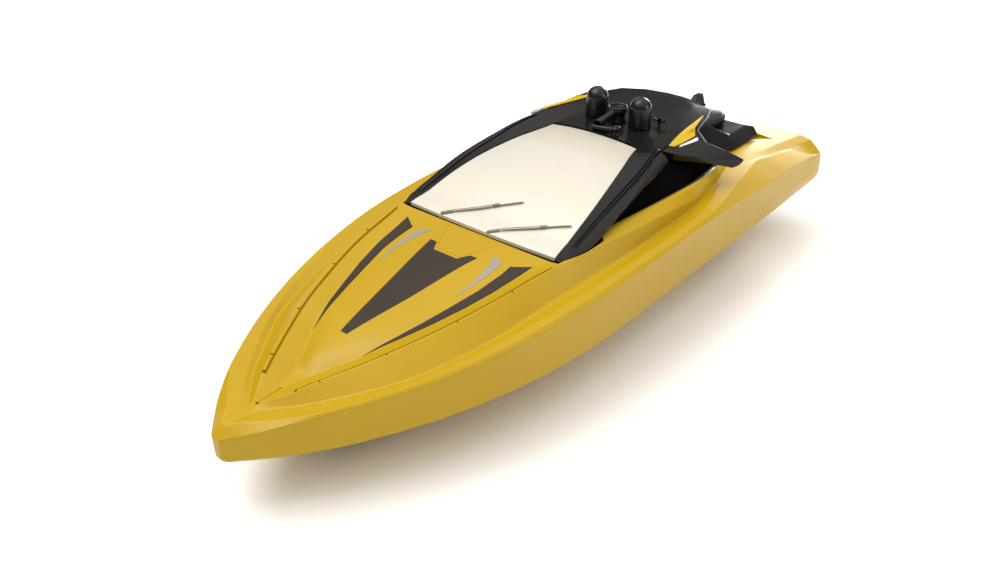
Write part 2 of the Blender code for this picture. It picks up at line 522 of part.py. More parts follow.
def build_motor_mount():
    near, far = 66.0, 74.0
    y0, y1 = PROP_Y - far * cos(SHAFT_RAKE), PROP_Y - near * cos(SHAFT_RAKE)
    seat = PROP_Z + 70 * sin(SHAFT_RAKE)
    lower = mirrored([(0, 2.4), (11.5, 2.4), (32.6, 13.6), (32.6, seat - GAP)])
    cradle = prism("motor_cradle", lower, y0, y1, "grey")
    arch = [(SHAFT_X + 11.8 * cos(radians(a)), seat + 11.8 * sin(radians(a)))
            for a in np.linspace(10.8, 169.2, 9)]
    upper = mirrored([(33.0, seat), (33.0, seat + 2.2)] + arch)
    clamp = prism("motor_clamp", upper, y0 + 1, y1 - 1, "grey")
    for side, tag in ((1, "l"), (-1, "r")):
        axis = place("motor_seat_" + tag, (side * SHAFT_X, PROP_Y, PROP_Z), pi / 2 - SHAFT_RAKE)
        seat_bore = rod_profile(MOTOR_R + GAP, 90, 50)
        bore = turned("motor_seat_cutter_" + tag, seat_bore, "grey", axis, 32, cutters)
        boolean(cradle, bore)
        boolean(clamp, bore)
    middle = (y0 + y1) / 2
    for x, tag in ((30.4, "l"), (0.0, "c"), (-30.4, "r")):
        spot = place("screw_place_" + tag, (x, middle, 0))
        thread = rod_profile(1.1, seat + 6, seat - 5.4)
        hole = turned("screw_hole_cutter_" + tag, thread, "grey", spot, 16, cutters)
        boolean(cradle, hole)
        boolean(clamp, hole)
        head = seat + 2.2 + GAP
        turned("clamp_screw_" + tag, [(0, head + 1.3), (1.6, head + 1.3), (2.0, head + 0.8), (2.0, head),
                                      (0.8, head), (0.8, seat - 5), (0, seat - 5)], "steel", spot, 16)


# ---------------------------------------------------------------- power and control
def build_battery():
    section = mirrored([(0, 7.0), (8.0, 7.0), (8.0, 2.4), (10.0, 2.4), (10.0, 7.0), (18.4, 7.0), (18.4, 10.4),
                        (17.4, 10.4), (17.4, 8.2), (0, 8.2)])
    prism("battery_tray", section, -46, 14, "black")
    block("battery_pack", (-16.2, -43, 8.5), (16.2, 11, 24.0), "blue", 1.2)
    strap = mirrored([(0, 24.3), (16.5, 24.3), (16.5, 8.5), (17.1, 8.5), (17.1, 24.9), (0, 24.9)])
    prism("battery_strap", strap, -22, -10, "rubber")


def build_control():
    section = mirrored([(0, 18.6), (8.0, 18.6), (8.0, 2.2), (10.0, 2.2), (10.0, 18.6), (14.0, 18.6),
                        (14.0, 20.2), (0, 20.2)])
    stand = prism("board_stand", section, 64, 96, "black")
    board = block("control_board", (-15, 63, 20.5), (15, 97, 22.1), "green")
    block("board_driver", (-9, 74, 22.4), (3, 86, 24.6), "black", 0.3)
    block("board_crystal", (5, 88, 22.4), (12, 91.5, 25.6), "steel", 0.6)
    turned("board_capacitor", [(0, 31.5), (2.7, 31.5), (3.2, 31.0), (3.2, 23.4), (2.9, 23.0), (3.2, 22.6),
                               (3.2, 22.4), (0, 22.4)], "blue", place("capacitor_place", (9, 70, 0)), 20)
    for x, tag in ((11.6, "l"), (-11.6, "r")):
        spot = place("board_screw_place_" + tag, (x, 81, 0))
        hole = turned("board_hole_cutter_" + tag, rod_profile(1.0, 24, 17), "grey", spot, 12, cutters)
        boolean(stand, hole)
        boolean(board, hole)
        turned("board_screw_" + tag, [(0, 23.7), (1.5, 23.7), (1.9, 23.2), (1.9, 22.4), (0.7, 22.4), (0.7, 18),
                                      (0, 18)], "steel", spot, 14)
    switch = block("switch_body", (-3.6, 22, 20), (3.6, 36, 26.4), "black", 0.4)
    boolean(switch, block("switch_slot_cutter", (-1.4, 25, 24.4), (1.4, 33, 28), collection=cutters))
    slider = block("switch_slider", (-1.0, 25.6, 24.8), (1.0, 28.8, 28.6), "white", 0.25)
    slider.data.name = "switch_slider"
    block("switch_bracket", (-6.5, 21, 2.3), (6.5, 31, 19.7), "grey", 0.5)
    for side, tag in ((1, "l"), (-1, "r")):
        spot = place("sensor_place_" + tag, (side * 4, 72, 0))
        turned("sensor_pin_" + tag, [(0, 4.2), (1.0, 4.2), (1.0, 0.3), (0, 0.3)], "steel", spot, 16)


def main():
    global boat, cutters
    clear_scene()
    boat = bpy.data.collections.new("toy_boat")
    cutters = bpy.data.collections.new("cutters")
    bpy.context.scene.collection.children.link(boat)
    bpy.context.scene.collection.children.link(cutters)
    build_hull()
    build_deck()
    build_gasket()
    build_cabin()
    build_side_windows()
    build_wings()
    build_roof_fittings()
    build_rear_cover()
    build_lock()
    build_wipers()
    build_drive(1, "l")
    build_drive(-1, "r")
    build_motor_mount()
    build_battery()
    build_control()


main()
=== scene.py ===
"""Radio-controlled toy speedboat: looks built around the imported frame. Lengths in mm unless noted."""
import bpy
import bmesh
import numpy as np
from math import cos, pi, radians, sin
from mathutils import Matrix, Vector


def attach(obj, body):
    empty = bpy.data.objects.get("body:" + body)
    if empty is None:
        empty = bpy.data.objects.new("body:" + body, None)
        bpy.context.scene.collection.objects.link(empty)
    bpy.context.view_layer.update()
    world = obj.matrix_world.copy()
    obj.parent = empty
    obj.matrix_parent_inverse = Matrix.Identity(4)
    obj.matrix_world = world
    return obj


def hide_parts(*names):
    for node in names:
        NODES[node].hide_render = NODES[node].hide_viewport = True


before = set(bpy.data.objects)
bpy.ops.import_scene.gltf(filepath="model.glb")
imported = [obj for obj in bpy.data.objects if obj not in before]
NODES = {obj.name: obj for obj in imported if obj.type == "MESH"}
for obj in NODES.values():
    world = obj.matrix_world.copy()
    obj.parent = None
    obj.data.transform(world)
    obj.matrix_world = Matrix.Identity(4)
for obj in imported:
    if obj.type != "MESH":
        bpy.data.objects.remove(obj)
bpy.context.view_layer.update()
MM = 0.001
SKIN = 1.6            # wall of the mouldings
FLANK = 0.4           # how far up the side its corner lies, from chine to sheer
SHAFT_X = 17.0        # each propeller shaft from the centreline
SHAFT_TILT = 6.5      # shafts run down towards the stern, degrees
SENSOR_X = 4.0        # each water-sensor pin from the centreline
LOCK_Y = 98           # axis of the round lock knob
GLASS_DROP = 0.42     # windscreen below the roof's surface
FILM_LIFT = 0.09      # a decal's top above the surface under it
STERN_WALL = 123.3    # the deck closes the stern aft of this

# Lengthwise lines of the hull and the deck, as (y, x, z) on the port side.
KEEL = [(-125, 0.5, 16.4), (-121, 0.9, 15.0), (-117, 1.4, 13.2), (-112, 2.2, 10.9), (-105, 3.6, 8.0),
        (-95, 6, 5.2), (-85, 7.7, 2.2), (-74, 9.2, 0.0), (-40, 12, 0.0), (125, 12, 0.0)]
CHINE = [(-125, 1.2, 16.7), (-116.8, 8.4, 16.6), (-102, 19, 16.6), (-84.8, 27.9, 16.6),
         (-64.7, 35.5, 16.6), (-40, 41, 16.6), (-6, 43.2, 16.6), (38, 42.9, 16.6), (92, 42.3, 16.6),
         (125, 41.4, 16.6)]
QUARTER = [(-125, 0, 0), (60, 0, 0), (100, 1.0, 0), (115, 2.2, 0), (125, 2.6, 0)]
SHEER = [(-125, 1.6, 24.2), (-117.7, 8.8, 26.1), (-110, 15, 27.9), (-97.6, 23.1, 29.4),
         (-78.6, 32.8, 31.2), (-55.6, 40.4, 33.6), (-34.4, 44.5, 35.6), (-7, 46.8, 37.2),
         (36, 47.2, 38.4), (56, 47.0, 37.6), (80, 46.8, 36.3), (103, 46.6, 35.2), (112, 46.3, 34.0),
         (121, 45.8, 31.6), (125, 44.7, 29.9)]
RAIL_OUT = [(-125, 1.5, 24.25), (-120.7, 2.2, 27.0), (-114, 9.2, 27.7), (-108, 15.6, 28.8),
            (-97.6, 22.4, 30.0), (-78.6, 32.0, 31.9), (-55.6, 39.6, 34.3), (-34.4, 43.6, 36.5),
            (-7, 45.8, 38.2), (20, 46.3, 38.9), (36, 46.0, 39.4), (45, 44.6, 39.5), (59, 41.8, 39.5),
            (76, 38.7, 39.4), (84.6, 36.8, 39.0), (96, 38.5, 37.5), (107.6, 40.6, 36.1),
            (113, 45.2, 34.1), (121, 45.2, 32.3), (125, 43.9, 31.4)]
RAIL_IN = [(-125, 1.2, 24.3), (-120.7, 1.9, 27.05), (-113.5, 4.5, 27.2), (-105.6, 11.6, 28.0),
           (-96.5, 18.9, 29.2), (-78.6, 29.6, 31.6), (-55.6, 37.0, 34.4), (-34.4, 40.9, 36.7),
           (-7, 43.1, 38.5), (20, 43.8, 39.2), (34, 42.8, 39.5), (43, 41.2, 39.5), (55, 37.9, 39.5),
           (69, 36.2, 39.4), (80, 35.4, 39.2), (107, 38.4, 36.6), (125, 40.0, 35.2)]
FLOOR = [(-125, 1.0, 24.3), (-120.7, 1.4, 27.05), (-113.5, 2.4, 26.6), (-105.6, 9.6, 27.1),
         (-96.5, 16.6, 28.1), (-84.5, 24.5, 29.5), (-74, 28.7, 30.8), (-55.5, 33.5, 33.0),
         (-40.5, 35.6, 34.7), (-24.5, 37.3, 35.9), (4, 39.0, 37.0), (31, 38.6, 37.9),
         (46, 37.9, 38.9), (54, 36.8, 39.4), (69, 34.6, 39.3), (85, 33.3, 39.0), (125, 35.8, 36.3)]
CREST = [(-125, 0.8, 24.3), (-120.7, 1.0, 27.05), (-113.5, 0.8, 27.2), (-108, 4.0, 28.7),
         (-103.7, 7.0, 30.1), (-98.7, 9.7, 31.3), (-89.2, 14.6, 33.1), (-79.2, 19.2, 35.1),
         (-68.1, 23.2, 36.9), (-49.4, 28.3, 40.0), (-34.9, 30.8, 41.7), (-24, 32.9, 42.6),
         (-11.5, 34.9, 43.0), (6.3, 37.3, 43.0), (27, 38.4, 42.2), (40, 38.0, 41.0),
         (52, 36.4, 39.9), (62, 34.2, 39.6), (85, 29.5, 39.1), (125, 30.0, 36.7)]
INNER = [(-125, 0.6, 24.3), (-120.7, 0.7, 27.05), (-113.5, 0.4, 27.1), (-103.7, 1.2, 27.6),
         (-98, 2.6, 28.0), (-92.7, 5.0, 29.1), (-84.6, 9.7, 31.0), (-79.7, 12.1, 32.4),
         (-66, 17.4, 34.8), (-47, 22.8, 38.0), (-31, 25.6, 40.7), (-26, 28.9, 42.1),
         (-22.5, 31.2, 42.7), (-6, 32.4, 44.3), (10.6, 34.3, 44.8), (31.3, 36.1, 44.9),
         (43, 36.6, 44.8), (56, 34.6, 44.2), (68, 30.5, 41.6), (78, 27.5, 39.6), (88, 26.0, 39.0),
         (125, 26.0, 36.8)]
CENTRE = [(-125, 0, 24.3), (-120.7, 0, 27.05), (-113.5, 0, 27.15), (-98.2, 0, 27.8),
          (-92, 0, 30.6), (-81.7, 0, 33.3), (-60, 0, 37.1), (-41, 0, 40.4), (-27, 0, 41.8),
          (-20, 0, 43), (56, 0, 44), (80, 0, 39.9), (104, 0, 38.5), (125, 0, 36.9)]
HATCH = [(-26.9, 28.2, 0), (-22.5, 30.0, 0), (-6, 31.2, 0), (10.6, 33.1, 0), (31.3, 34.9, 0),
         (43, 35.4, 0), (58, 33.4, 0), (72, 29.0, 0), (84, 24.6, 0), (104, 22.0, 0)]
ROOF_MID = [(-26.8, 0, 42.0), (-17, 0, 46.2), (-8.2, 0, 49.3), (1.5, 0, 52.0), (17.5, 0, 54.9),
            (34.2, 0, 55.9), (48, 0, 55.7), (66, 0, 55.5), (86.5, 0, 54.6)]
GLASS_EDGE = [(-25.8, 28.9, 42.2), (-17, 27.9, 45.2), (-8.2, 26.9, 48.0), (1.5, 25.3, 50.5),
              (17.5, 21.6, 53.3), (34.2, 17.2, 54.8), (60, 16, 55.6), (78, 12.5, 55.2),
              (86.5, 1.6, 54.6)]
ROOF_EDGE = [(-25.8, 30.9, 42.2), (-22.5, 32.4, 42.7), (-11.6, 34.0, 44.8), (0.6, 33.3, 48.6),
             (14.7, 31.0, 52.2), (34.1, 26.2, 56.0), (48, 25.3, 56.0), (60, 24.4, 55.6),
             (76, 20.2, 55.1), (79.2, 18.7, 55.0), (81.6, 15.4, 54.9), (84.6, 10.3, 54.8), (86.5, 3.2, 54.6)]


def track(points, y):
    """Smooth (x, z) of a lengthwise line at y, by cubic spans through its points."""
    p = np.array(points, float)
    y = float(np.clip(y, p[0, 0], p[-1, 0]))
    slope = np.gradient(p[:, 1:], p[:, 0], axis=0)
    step = np.diff(p[:, 1:], axis=0) / np.diff(p[:, 0])[:, None]
    before, after = np.vstack((step[:1], step)), np.vstack((step, step[-1:]))
    limit = np.where(before * after > 0, 3 * np.minimum(abs(before), abs(after)), 0)
    slope = np.clip(slope, -limit, limit)
    i = int(np.clip(np.searchsorted(p[:, 0], y) - 1, 0, len(p) - 2))
    h = p[i + 1, 0] - p[i, 0]
    t = (y - p[i, 0]) / h
    value = ((2 * t**3 - 3 * t**2 + 1) * p[i, 1:] + (t**3 - 2 * t**2 + t) * h * slope[i]
             + (3 * t**2 - 2 * t**3) * p[i + 1, 1:] + (t**3 - t**2) * h * slope[i + 1])
    return float(value[0]), float(value[1])


# ---------------------------------------------------------------- materials
def tree_of(name):
    mat = bpy.data.materials.new(name)
    mat.use_nodes = True
    nodes, links = mat.node_tree.nodes, mat.node_tree.links
    bsdf = nodes["Principled BSDF"]
    coord = nodes.new("ShaderNodeTexCoord")
    return mat, nodes, links, bsdf, coord.outputs["Object"]


def noise(nodes, links, vector, scale, detail=3.0, rough=0.55):
    n = nodes.new("ShaderNodeTexNoise")
    n.inputs["Scale"].default_value = scale
    n.inputs["Detail"].default_value = detail
    n.inputs["Roughness"].default_value = rough
    links.new(vector, n.inputs["Vector"])
    return n.outputs["Fac"]


def ramp(nodes, links, fac, low, high, a, b):
    """fac between low and high mapped to the colours (or greys) a to b."""
    r = nodes.new("ShaderNodeValToRGB")
    r.color_ramp.elements[0].position, r.color_ramp.elements[1].position = low, high
    grey = lambda c: (c, c, c, 1.0) if isinstance(c, float) else (*c, 1.0)
    r.color_ramp.elements[0].color, r.color_ramp.elements[1].color = grey(a), grey(b)
    links.new(fac, r.inputs["Fac"])
    return r.outputs["Color"]


def bump(nodes, links, bsdf, heights):
    """Chain of bumps, each a (height socket, distance in metres, strength)."""
    last = None
    for height, distance, strength in heights:
        b = nodes.new("ShaderNodeBump")
        b.inputs["Distance"].default_value = distance
        b.inputs["Strength"].default_value = strength
        links.new(height, b.inputs["Height"])
        if last:
            links.new(last, b.inputs["Normal"])
        last = b.outputs["Normal"]
    links.new(last, bsdf.inputs["Normal"])


def plastic(name, dark, light, rough, spread=0.05, grain=900.0, depth=0.00003, coat=0.0, spec=0.5):
    """Moulded plastic: faint colour flow, uneven polish and a fine tool texture."""
    mat, nodes, links, bsdf, at = tree_of(name)
    flow = ramp(nodes, links, noise(nodes, links, at, 28, 4), 0.3, 0.7, dark, light)
    links.new(flow, bsdf.inputs["Base Color"])
    wear = noise(nodes, links, at, 90, 5, 0.65)
    polish = ramp(nodes, links, wear, 0.3, 0.75, rough - spread, rough + spread)
    links.new(polish, bsdf.inputs["Roughness"])
    bump(nodes, links, bsdf, [(noise(nodes, links, at, grain, 2), depth, 0.25),
                              (noise(nodes, links, at, 60, 2), depth * 4, 0.12)])
    bsdf.inputs["Coat Weight"].default_value = coat
    bsdf.inputs["Coat Roughness"].default_value = 0.12
    bsdf.inputs["Specular IOR Level"].default_value = spec
    return mat


def brushed(name, dark, light, rough, along=(1, 1, 30)):
    """Turned or drawn metal: fine lines along one direction."""
    mat, nodes, links, bsdf, at = tree_of(name)
    stretch = nodes.new("ShaderNodeMapping")
    stretch.inputs["Scale"].default_value = along
    links.new(at, stretch.inputs["Vector"])
    lines = noise(nodes, links, stretch.outputs["Vector"], 160, 4, 0.6)
    links.new(ramp(nodes, links, lines, 0.3, 0.7, dark, light), bsdf.inputs["Base Color"])
    links.new(ramp(nodes, links, lines, 0.2, 0.8, rough - 0.08, rough + 0.1), bsdf.inputs["Roughness"])
    bump(nodes, links, bsdf, [(lines, 0.00002, 0.2)])
    bsdf.inputs["Metallic"].default_value = 1.0
    return mat


def mirror_film():
    """Champagne mirror film: pale, with painted shade that darkens it towards the roof, and a fine woven
    sparkle.
    """
    mat, nodes, links, bsdf, at = tree_of("mirror_film")
    split = nodes.new("ShaderNodeSeparateXYZ")
    links.new(at, split.inputs["Vector"])
    height = nodes.new("ShaderNodeMapRange")
    height.inputs["From Min"].default_value, height.inputs["From Max"].default_value = 0.0, 0.036
    links.new(split.outputs["Y"], height.inputs["Value"])
    # painted shade: the second, darker colour paints the shade on the film's top, under the roof
    low, high = (0.625, 0.585, 0.49), (0.515, 0.46, 0.37)
    painted_roof_shade = ramp(nodes, links, height.outputs["Result"], 0.45, 1.0, low, high)
    flecks = ramp(nodes, links, noise(nodes, links, at, 1500, 2), 0.4, 0.6, 0.95, 1.0)
    mix = nodes.new("ShaderNodeMix")
    mix.data_type, mix.blend_type = "RGBA", "MULTIPLY"
    mix.inputs["Factor"].default_value = 1.0
    links.new(painted_roof_shade, mix.inputs["A"])
    links.new(flecks, mix.inputs["B"])
    links.new(mix.outputs["Result"], bsdf.inputs["Base Color"])
    polish = noise(nodes, links, at, 700, 3)
    links.new(ramp(nodes, links, polish, 0.3, 0.7, 0.40, 0.48), bsdf.inputs["Roughness"])
    bump(nodes, links, bsdf, [(noise(nodes, links, at, 1500, 2), 0.00001, 0.1)])
    bsdf.inputs["Metallic"].default_value = 0.2
    return mat


YELLOW = plastic("yellow_shell", (0.42, 0.258, 0.001), (0.446, 0.277, 0.0015),
                 0.34, 0.05, 1100, 0.00002, spec=0.26)
BLACK = plastic("black_cabin", (0.006, 0.0052, 0.0045), (0.010, 0.0088, 0.0075),
                0.19, 0.04, 1000, 0.00002, spec=0.20)
MATTE_BLACK = plastic("black_textured", (0.008, 0.0072, 0.0065), (0.013, 0.0118, 0.0105),
                      0.20, 0.04, 1700, 0.00002, spec=0.13)
GLOSS_BLACK = plastic("black_gloss", (0.006, 0.0056, 0.005), (0.010, 0.0093, 0.0085),
                      0.22, 0.04, 900, 0.00001, spec=0.34)
DECAL_DARK = plastic("decal_charcoal", (0.036, 0.026, 0.020), (0.043, 0.032, 0.025),
                     0.46, 0.04, 1500, 0.00001, spec=0.12)
DECAL_GREY = plastic("decal_silver", (0.27, 0.237, 0.2), (0.32, 0.279, 0.238),
                     0.40, 0.05, 1500, 0.00001, spec=0.2)
DECAL_YELLOW = plastic("decal_yellow", (0.52, 0.33, 0.004), (0.55, 0.355, 0.006),
                       0.38, 0.05, 1500, 0.00001, spec=0.2)
DECAL_WHITE = plastic("decal_white", (0.80, 0.78, 0.76), (0.88, 0.87, 0.85), 0.35, 0.05, 1500, 0.00001)
GREY = plastic("wiper_grey", (0.20, 0.175, 0.135), (0.27, 0.24, 0.19), 0.45, 0.06, 1300, 0.00003)
STEEL = brushed("bright_steel", (0.50, 0.50, 0.51), (0.68, 0.68, 0.69), 0.30)
BRASS = brushed("turned_brass", (0.56, 0.38, 0.14), (0.72, 0.52, 0.24), 0.30)
RUBBER = plastic("black_rubber", (0.014, 0.014, 0.014), (0.028, 0.028, 0.027), 0.72, 0.08, 1400, 0.00008)
NYLON = plastic("white_nylon", (0.70, 0.69, 0.65), (0.78, 0.77, 0.73), 0.42, 0.06)
INNER_GREY = plastic("grey_moulding", (0.20, 0.20, 0.205), (0.26, 0.26, 0.265), 0.48, 0.06)
BLUE = plastic("blue_sleeve", (0.020, 0.070, 0.30), (0.030, 0.095, 0.38), 0.30, 0.07, 500, 0.00005)
GREEN = plastic("green_board", (0.010, 0.085, 0.035), (0.018, 0.13, 0.055),
                0.38, 0.06, 1500, 0.00003, 0.3)
GLASS_BLACK = plastic("side_glass", (0.0035, 0.003, 0.0032), (0.006, 0.0052, 0.0055),
                      0.45, 0.05, 900, 0.00001, spec=0.0)
# painted highlight: a lighter grey for the rod that paints the gleam on the roof's rear edge
PAINTED_GLEAM_GREY = plastic("painted_highlight_grey", (0.16, 0.15, 0.13), (0.22, 0.205, 0.18), 0.32, 0.05, 1100, 0.00001)
FILM = mirror_film()


# ---------------------------------------------------------------- mesh helpers
def piece(name, mesh, material, body, stands_for=(), angle=34, crisp=False):
    mesh.name = name
    mesh.shade_smooth()
    mesh.set_sharp_from_angle(angle=radians(angle))
    mesh.materials.clear()
    mesh.materials.append(material)
    ob = bpy.data.objects.new(name, mesh)
    bpy.context.scene.collection.objects.link(ob)
    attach(ob, body)
    if stands_for:
        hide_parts(*stands_for)
    if crisp:
        normals = ob.modifiers.new("normals", "WEIGHTED_NORMAL")
        normals.keep_sharp, normals.weight = True, 75
    return ob


def to_mesh(bm):
    bmesh.ops.remove_doubles(bm, verts=bm.verts, dist=1e-4)
    bmesh.ops.dissolve_degenerate(bm, edges=bm.edges, dist=1e-4)
    bmesh.ops.recalc_face_normals(bm, faces=bm.faces)
    bmesh.ops.scale(bm, vec=(MM, MM, MM), verts=bm.verts)
    mesh = bpy.data.meshes.new("mesh")
    bm.to_mesh(mesh)
    bm.free()
    return mesh


def loft(rings, bm=None):
    """Closed solid through equal-length rings of (x, y, z), both ends capped."""
    own = bm is None
    bm = bm or bmesh.new()
    rows = [[bm.verts.new(p) for p in ring] for ring in rings]
    n = len(rows[0])
    for a, b in zip(rows, rows[1:]):
        for i in range(n):
            bm.faces.new((a[i], a[(i + 1) % n], b[(i + 1) % n], b[i]))
    bm.faces.new(rows[0])
    bm.faces.new(rows[-1][::-1])
    return to_mesh(bm) if own else bm


def lathe(profile, steps=48, at=(0, 0, 0), tilt=0.0, bm=None):
    """Solid of revolution about Z from (r, z) points, moved to at and tilted about X."""
    own = bm is None
    bm = bm or bmesh.new()
    turn = Matrix.Translation(at) @ Matrix.Rotation(tilt, 4, "X")
    rings = []
    for r, z in profile:
        if r < 1e-6:
            rings.append([bm.verts.new(turn @ Vector((0, 0, z)))])
        else:
            angles = [2 * pi * k / steps for k in range(steps)]
            rings.append([bm.verts.new(turn @ Vector((r * cos(a), r * sin(a), z))) for a in angles])
    loop = profile[0][0] > 1e-6
    pairs = list(zip(rings, rings[1:])) + ([(rings[-1], rings[0])] if loop else [])
    for a, b in pairs:
        for k in range(steps):
            m = (k + 1) % steps
            if len(a) == 1:
                bm.faces.new((a[0], b[k], b[m]))
            elif len(b) == 1:
                bm.faces.new((a[k], b[0], a[m]))
            else:
                bm.faces.new((a[k], b[k], b[m], a[m]))
    return to_mesh(bm) if own else bm


def rounded(points, radii, n=4):
    """Poly line with its corners turned into short arcs, always the same number of points."""
    out = [points[0]]
    for before, here, after, r in zip(points, points[1:], points[2:], radii[1:]):
        a, p, b = (np.array(q, float) for q in (before, here, after))
        la, lb = np.linalg.norm(a - p), np.linalg.norm(b - p)
        r = min(r, 0.45 * la, 0.45 * lb)
        s, e = p + (a - p) * (r / max(la, 1e-6)), p + (b - p) * (r / max(lb, 1e-6))
        for t in np.linspace(0, 1, n + 1):
            out.append(tuple((1 - t) ** 2 * s + 2 * t * (1 - t) * p + t * t * e))
    out.append(points[-1])
    return out


def cut(mesh, cutters, operation="DIFFERENCE"):
    """mesh with each cutter mesh taken away (or added), as a new mesh."""
    ob = bpy.data.objects.new("work", mesh)
    bpy.context.scene.collection.objects.link(ob)
    tools = []
    for c in cutters:
        tool = bpy.data.objects.new("tool", c)
        bpy.context.scene.collection.objects.link(tool)
        tools.append(tool)
        mod = ob.modifiers.new("cut", "BOOLEAN")
        mod.operation, mod.solver, mod.object = operation, "EXACT", tool
    bpy.context.view_layer.update()
    done = bpy.data.meshes.new_from_object(ob.evaluated_get(bpy.context.evaluated_depsgraph_get()))
    for item in [ob] + tools:
        bpy.data.objects.remove(item, do_unlink=True)
    return done


def pipe(points, radius, steps=8, bm=None):
    """Round rod along a poly line; radius is one number or one for each point."""
    own = bm is None
    bm = bm or bmesh.new()
    p = [Vector(q) for q in points]
    rings = []
    for i, q in enumerate(p):
        d = (p[min(i + 1, len(p) - 1)] - p[max(i - 1, 0)]).normalized()
        side = d.cross(Vector((0, 0, 1)))
        side = side.normalized() if side.length > 1e-6 else Vector((1, 0, 0))
        up = side.cross(d).normalized()
        r = radius[i] if isinstance(radius, (list, tuple)) else radius
        rings.append([q + side * r * cos(2 * pi * k / steps) + up * r * sin(2 * pi * k / steps)
                      for k in range(steps)])
    loft(rings, bm)
    return to_mesh(bm) if own else bm


def wall(half, ys, z0, z1):
    """Tall prism with the given half-width at each y, for cutting."""
    return loft([[(half(y), y, z0), (half(y), y, z1), (-half(y), y, z1), (-half(y), y, z0)] for y in ys])


def grid_solid(top, low, keep=None):
    """Closed sheet between two equal grids, leaving out the cells where keep is false."""
    bm = bmesh.new()
    rows, cols = len(top) - 1, len(top[0]) - 1
    kept = {(i, j) for i in range(rows) for j in range(cols) if keep is None or keep(i, j)}
    a, b = {}, {}

    def vert(table, grid, i, j):
        if (i, j) not in table:
            table[i, j] = bm.verts.new(grid[i][j])
        return table[i, j]

    for i, j in kept:
        ring = [(i, j), (i, j + 1), (i + 1, j + 1), (i + 1, j)]
        bm.faces.new([vert(a, top, *c) for c in ring])
        bm.faces.new([vert(b, low, *c) for c in reversed(ring)])
        for c, d, beside in ((ring[0], ring[1], (i - 1, j)), (ring[1], ring[2], (i, j + 1)),
                             (ring[2], ring[3], (i + 1, j)), (ring[3], ring[0], (i, j - 1))):
            if beside not in kept:
                bm.faces.new((a[c], b.get(c) or vert(b, low, *c), vert(b, low, *d), a[d]))
    return to_mesh(bm)


def ease(y, a, b):
    """Smooth step from 0 at a to 1 at b."""
    t = min(max((y - a) / (b - a), 0.0), 1.0)
    return t * t * (3 - 2 * t)


def quarter(y, start, end, depth):
    """Drop of a quarter-round that begins at start and reaches its depth at end."""
    t = min(max((y - start) / (end - start), 0.0), 1.0)
    return depth * (1 - (1 - t * t) ** 0.5)


# ---------------------------------------------------------------- hull
def bow_round(x, y):
    """Half-width after the stem and the stern corners are rounded in plan."""
    return max(x - quarter(y, -124.5, -125, 0.25 * min(x, 1.6)) - quarter(y, 123.8, 125, 0.9), 0.02)


def flank(y):
    """Corner of the side between chine and sheer."""
    cx, cz = track(CHINE, y)
    sx, sz = track(SHEER, y)
    return cx + FLANK * (sx - cx) + track(QUARTER, y)[0], cz + FLANK * (sz - cz)


def hull_half(y):
    """Port half of the hull's section from the keel to the sheer."""
    kx, kz = track(KEEL, y)
    cx, cz = track(CHINE, y)
    mx, mz = flank(y)
    sx, sz = track(SHEER, y)
    lift = quarter(y, -123.0, -125, 1.9)
    points = [(0, kz + lift), (kx, kz + lift), (cx, cz + lift), (mx, mz), (sx, sz - 0.14)]
    points = [(bow_round(x, y) if x else 0.0, z) for x, z in points]
    return rounded(points, [0, 2.5, 1.5, 9, 0], 4)


def inner_half(y, floor=None):
    """Port half of the hollow inside the hull; floor raises its bottom over the shaft tunnels."""
    kx, kz = track(KEEL, y)
    cx, cz = track(CHINE, y)
    mx, mz = flank(y)
    sx, sz = track(SHEER, y)
    kz, cz = kz + 1.1 * SKIN, cz + 0.6 * SKIN
    if floor is not None:
        kz, cz, mz = floor, max(cz, floor + 0.1), max(mz, floor + 0.3)
    points = [(max(kx - 0.6, 0.2), kz), (max(cx - 1.8, 0.3), cz), (max(mx - 1.75, 0.35), mz),
              (max(sx - SKIN, 0.4), sz - 2.4), (max(sx - 0.2, 0.5), sz - 0.1), (max(sx - 0.2, 0.5), sz + 8)]
    return points


def both(half, y):
    return [(x, y, z) for x, z in half] + [(-x, y, z) for x, z in reversed(half) if x > 1e-9]


def steps(*spans):
    return sorted({round(float(v), 4) for a, b, n in spans for v in np.linspace(a, b, n)})


HULL_YS = steps((-125, -124.4, 5), (-124.4, -122.4, 8), (-122.4, -110, 10), (-110, -60, 24),
                (-60, 100, 40), (100, 122, 12), (122, 125, 7))
DECK_YS = steps((-125, -124.4, 4), (-124.4, -123, 5), (-123, -117, 13), (-117, -95, 25),
                (-95, -24, 60), (-24, 60, 56), (60, 122, 52), (122, 125, 7))


def build_hull():
    hull = loft([both(hull_half(y), y)[::-1] for y in HULL_YS])
    inner = [both(inner_half(y), y) for y in [v for v in HULL_YS if -117 <= v < 101] + [103.5]]
    stern = [both(inner_half(y, 25.9), y) for y in (100, 107, 113, 119, 123)]
    cutters = [loft(inner), loft(stern)]
    axis_tilt = pi / 2 - radians(SHAFT_TILT)
    for side in (1, -1):
        tunnel = (side * SHAFT_X, 115, 10.5)
        cutters.append(lathe([(0, 8), (11, 8), (11, -25), (0, -25)], 56, tunnel, axis_tilt))
        cutters.append(lathe([(0, 30), (2.3, 30), (2.3, 2), (0, 2)], 28, tunnel, axis_tilt))
        cutters.append(lathe([(0, 6), (1.3, 6), (1.3, -3), (0, -3)], 24, (side * SENSOR_X, 72, 0)))
    return piece("hull_moulding", cut(hull, cutters), YELLOW, "boat", ["hull_shell"], 34, True)


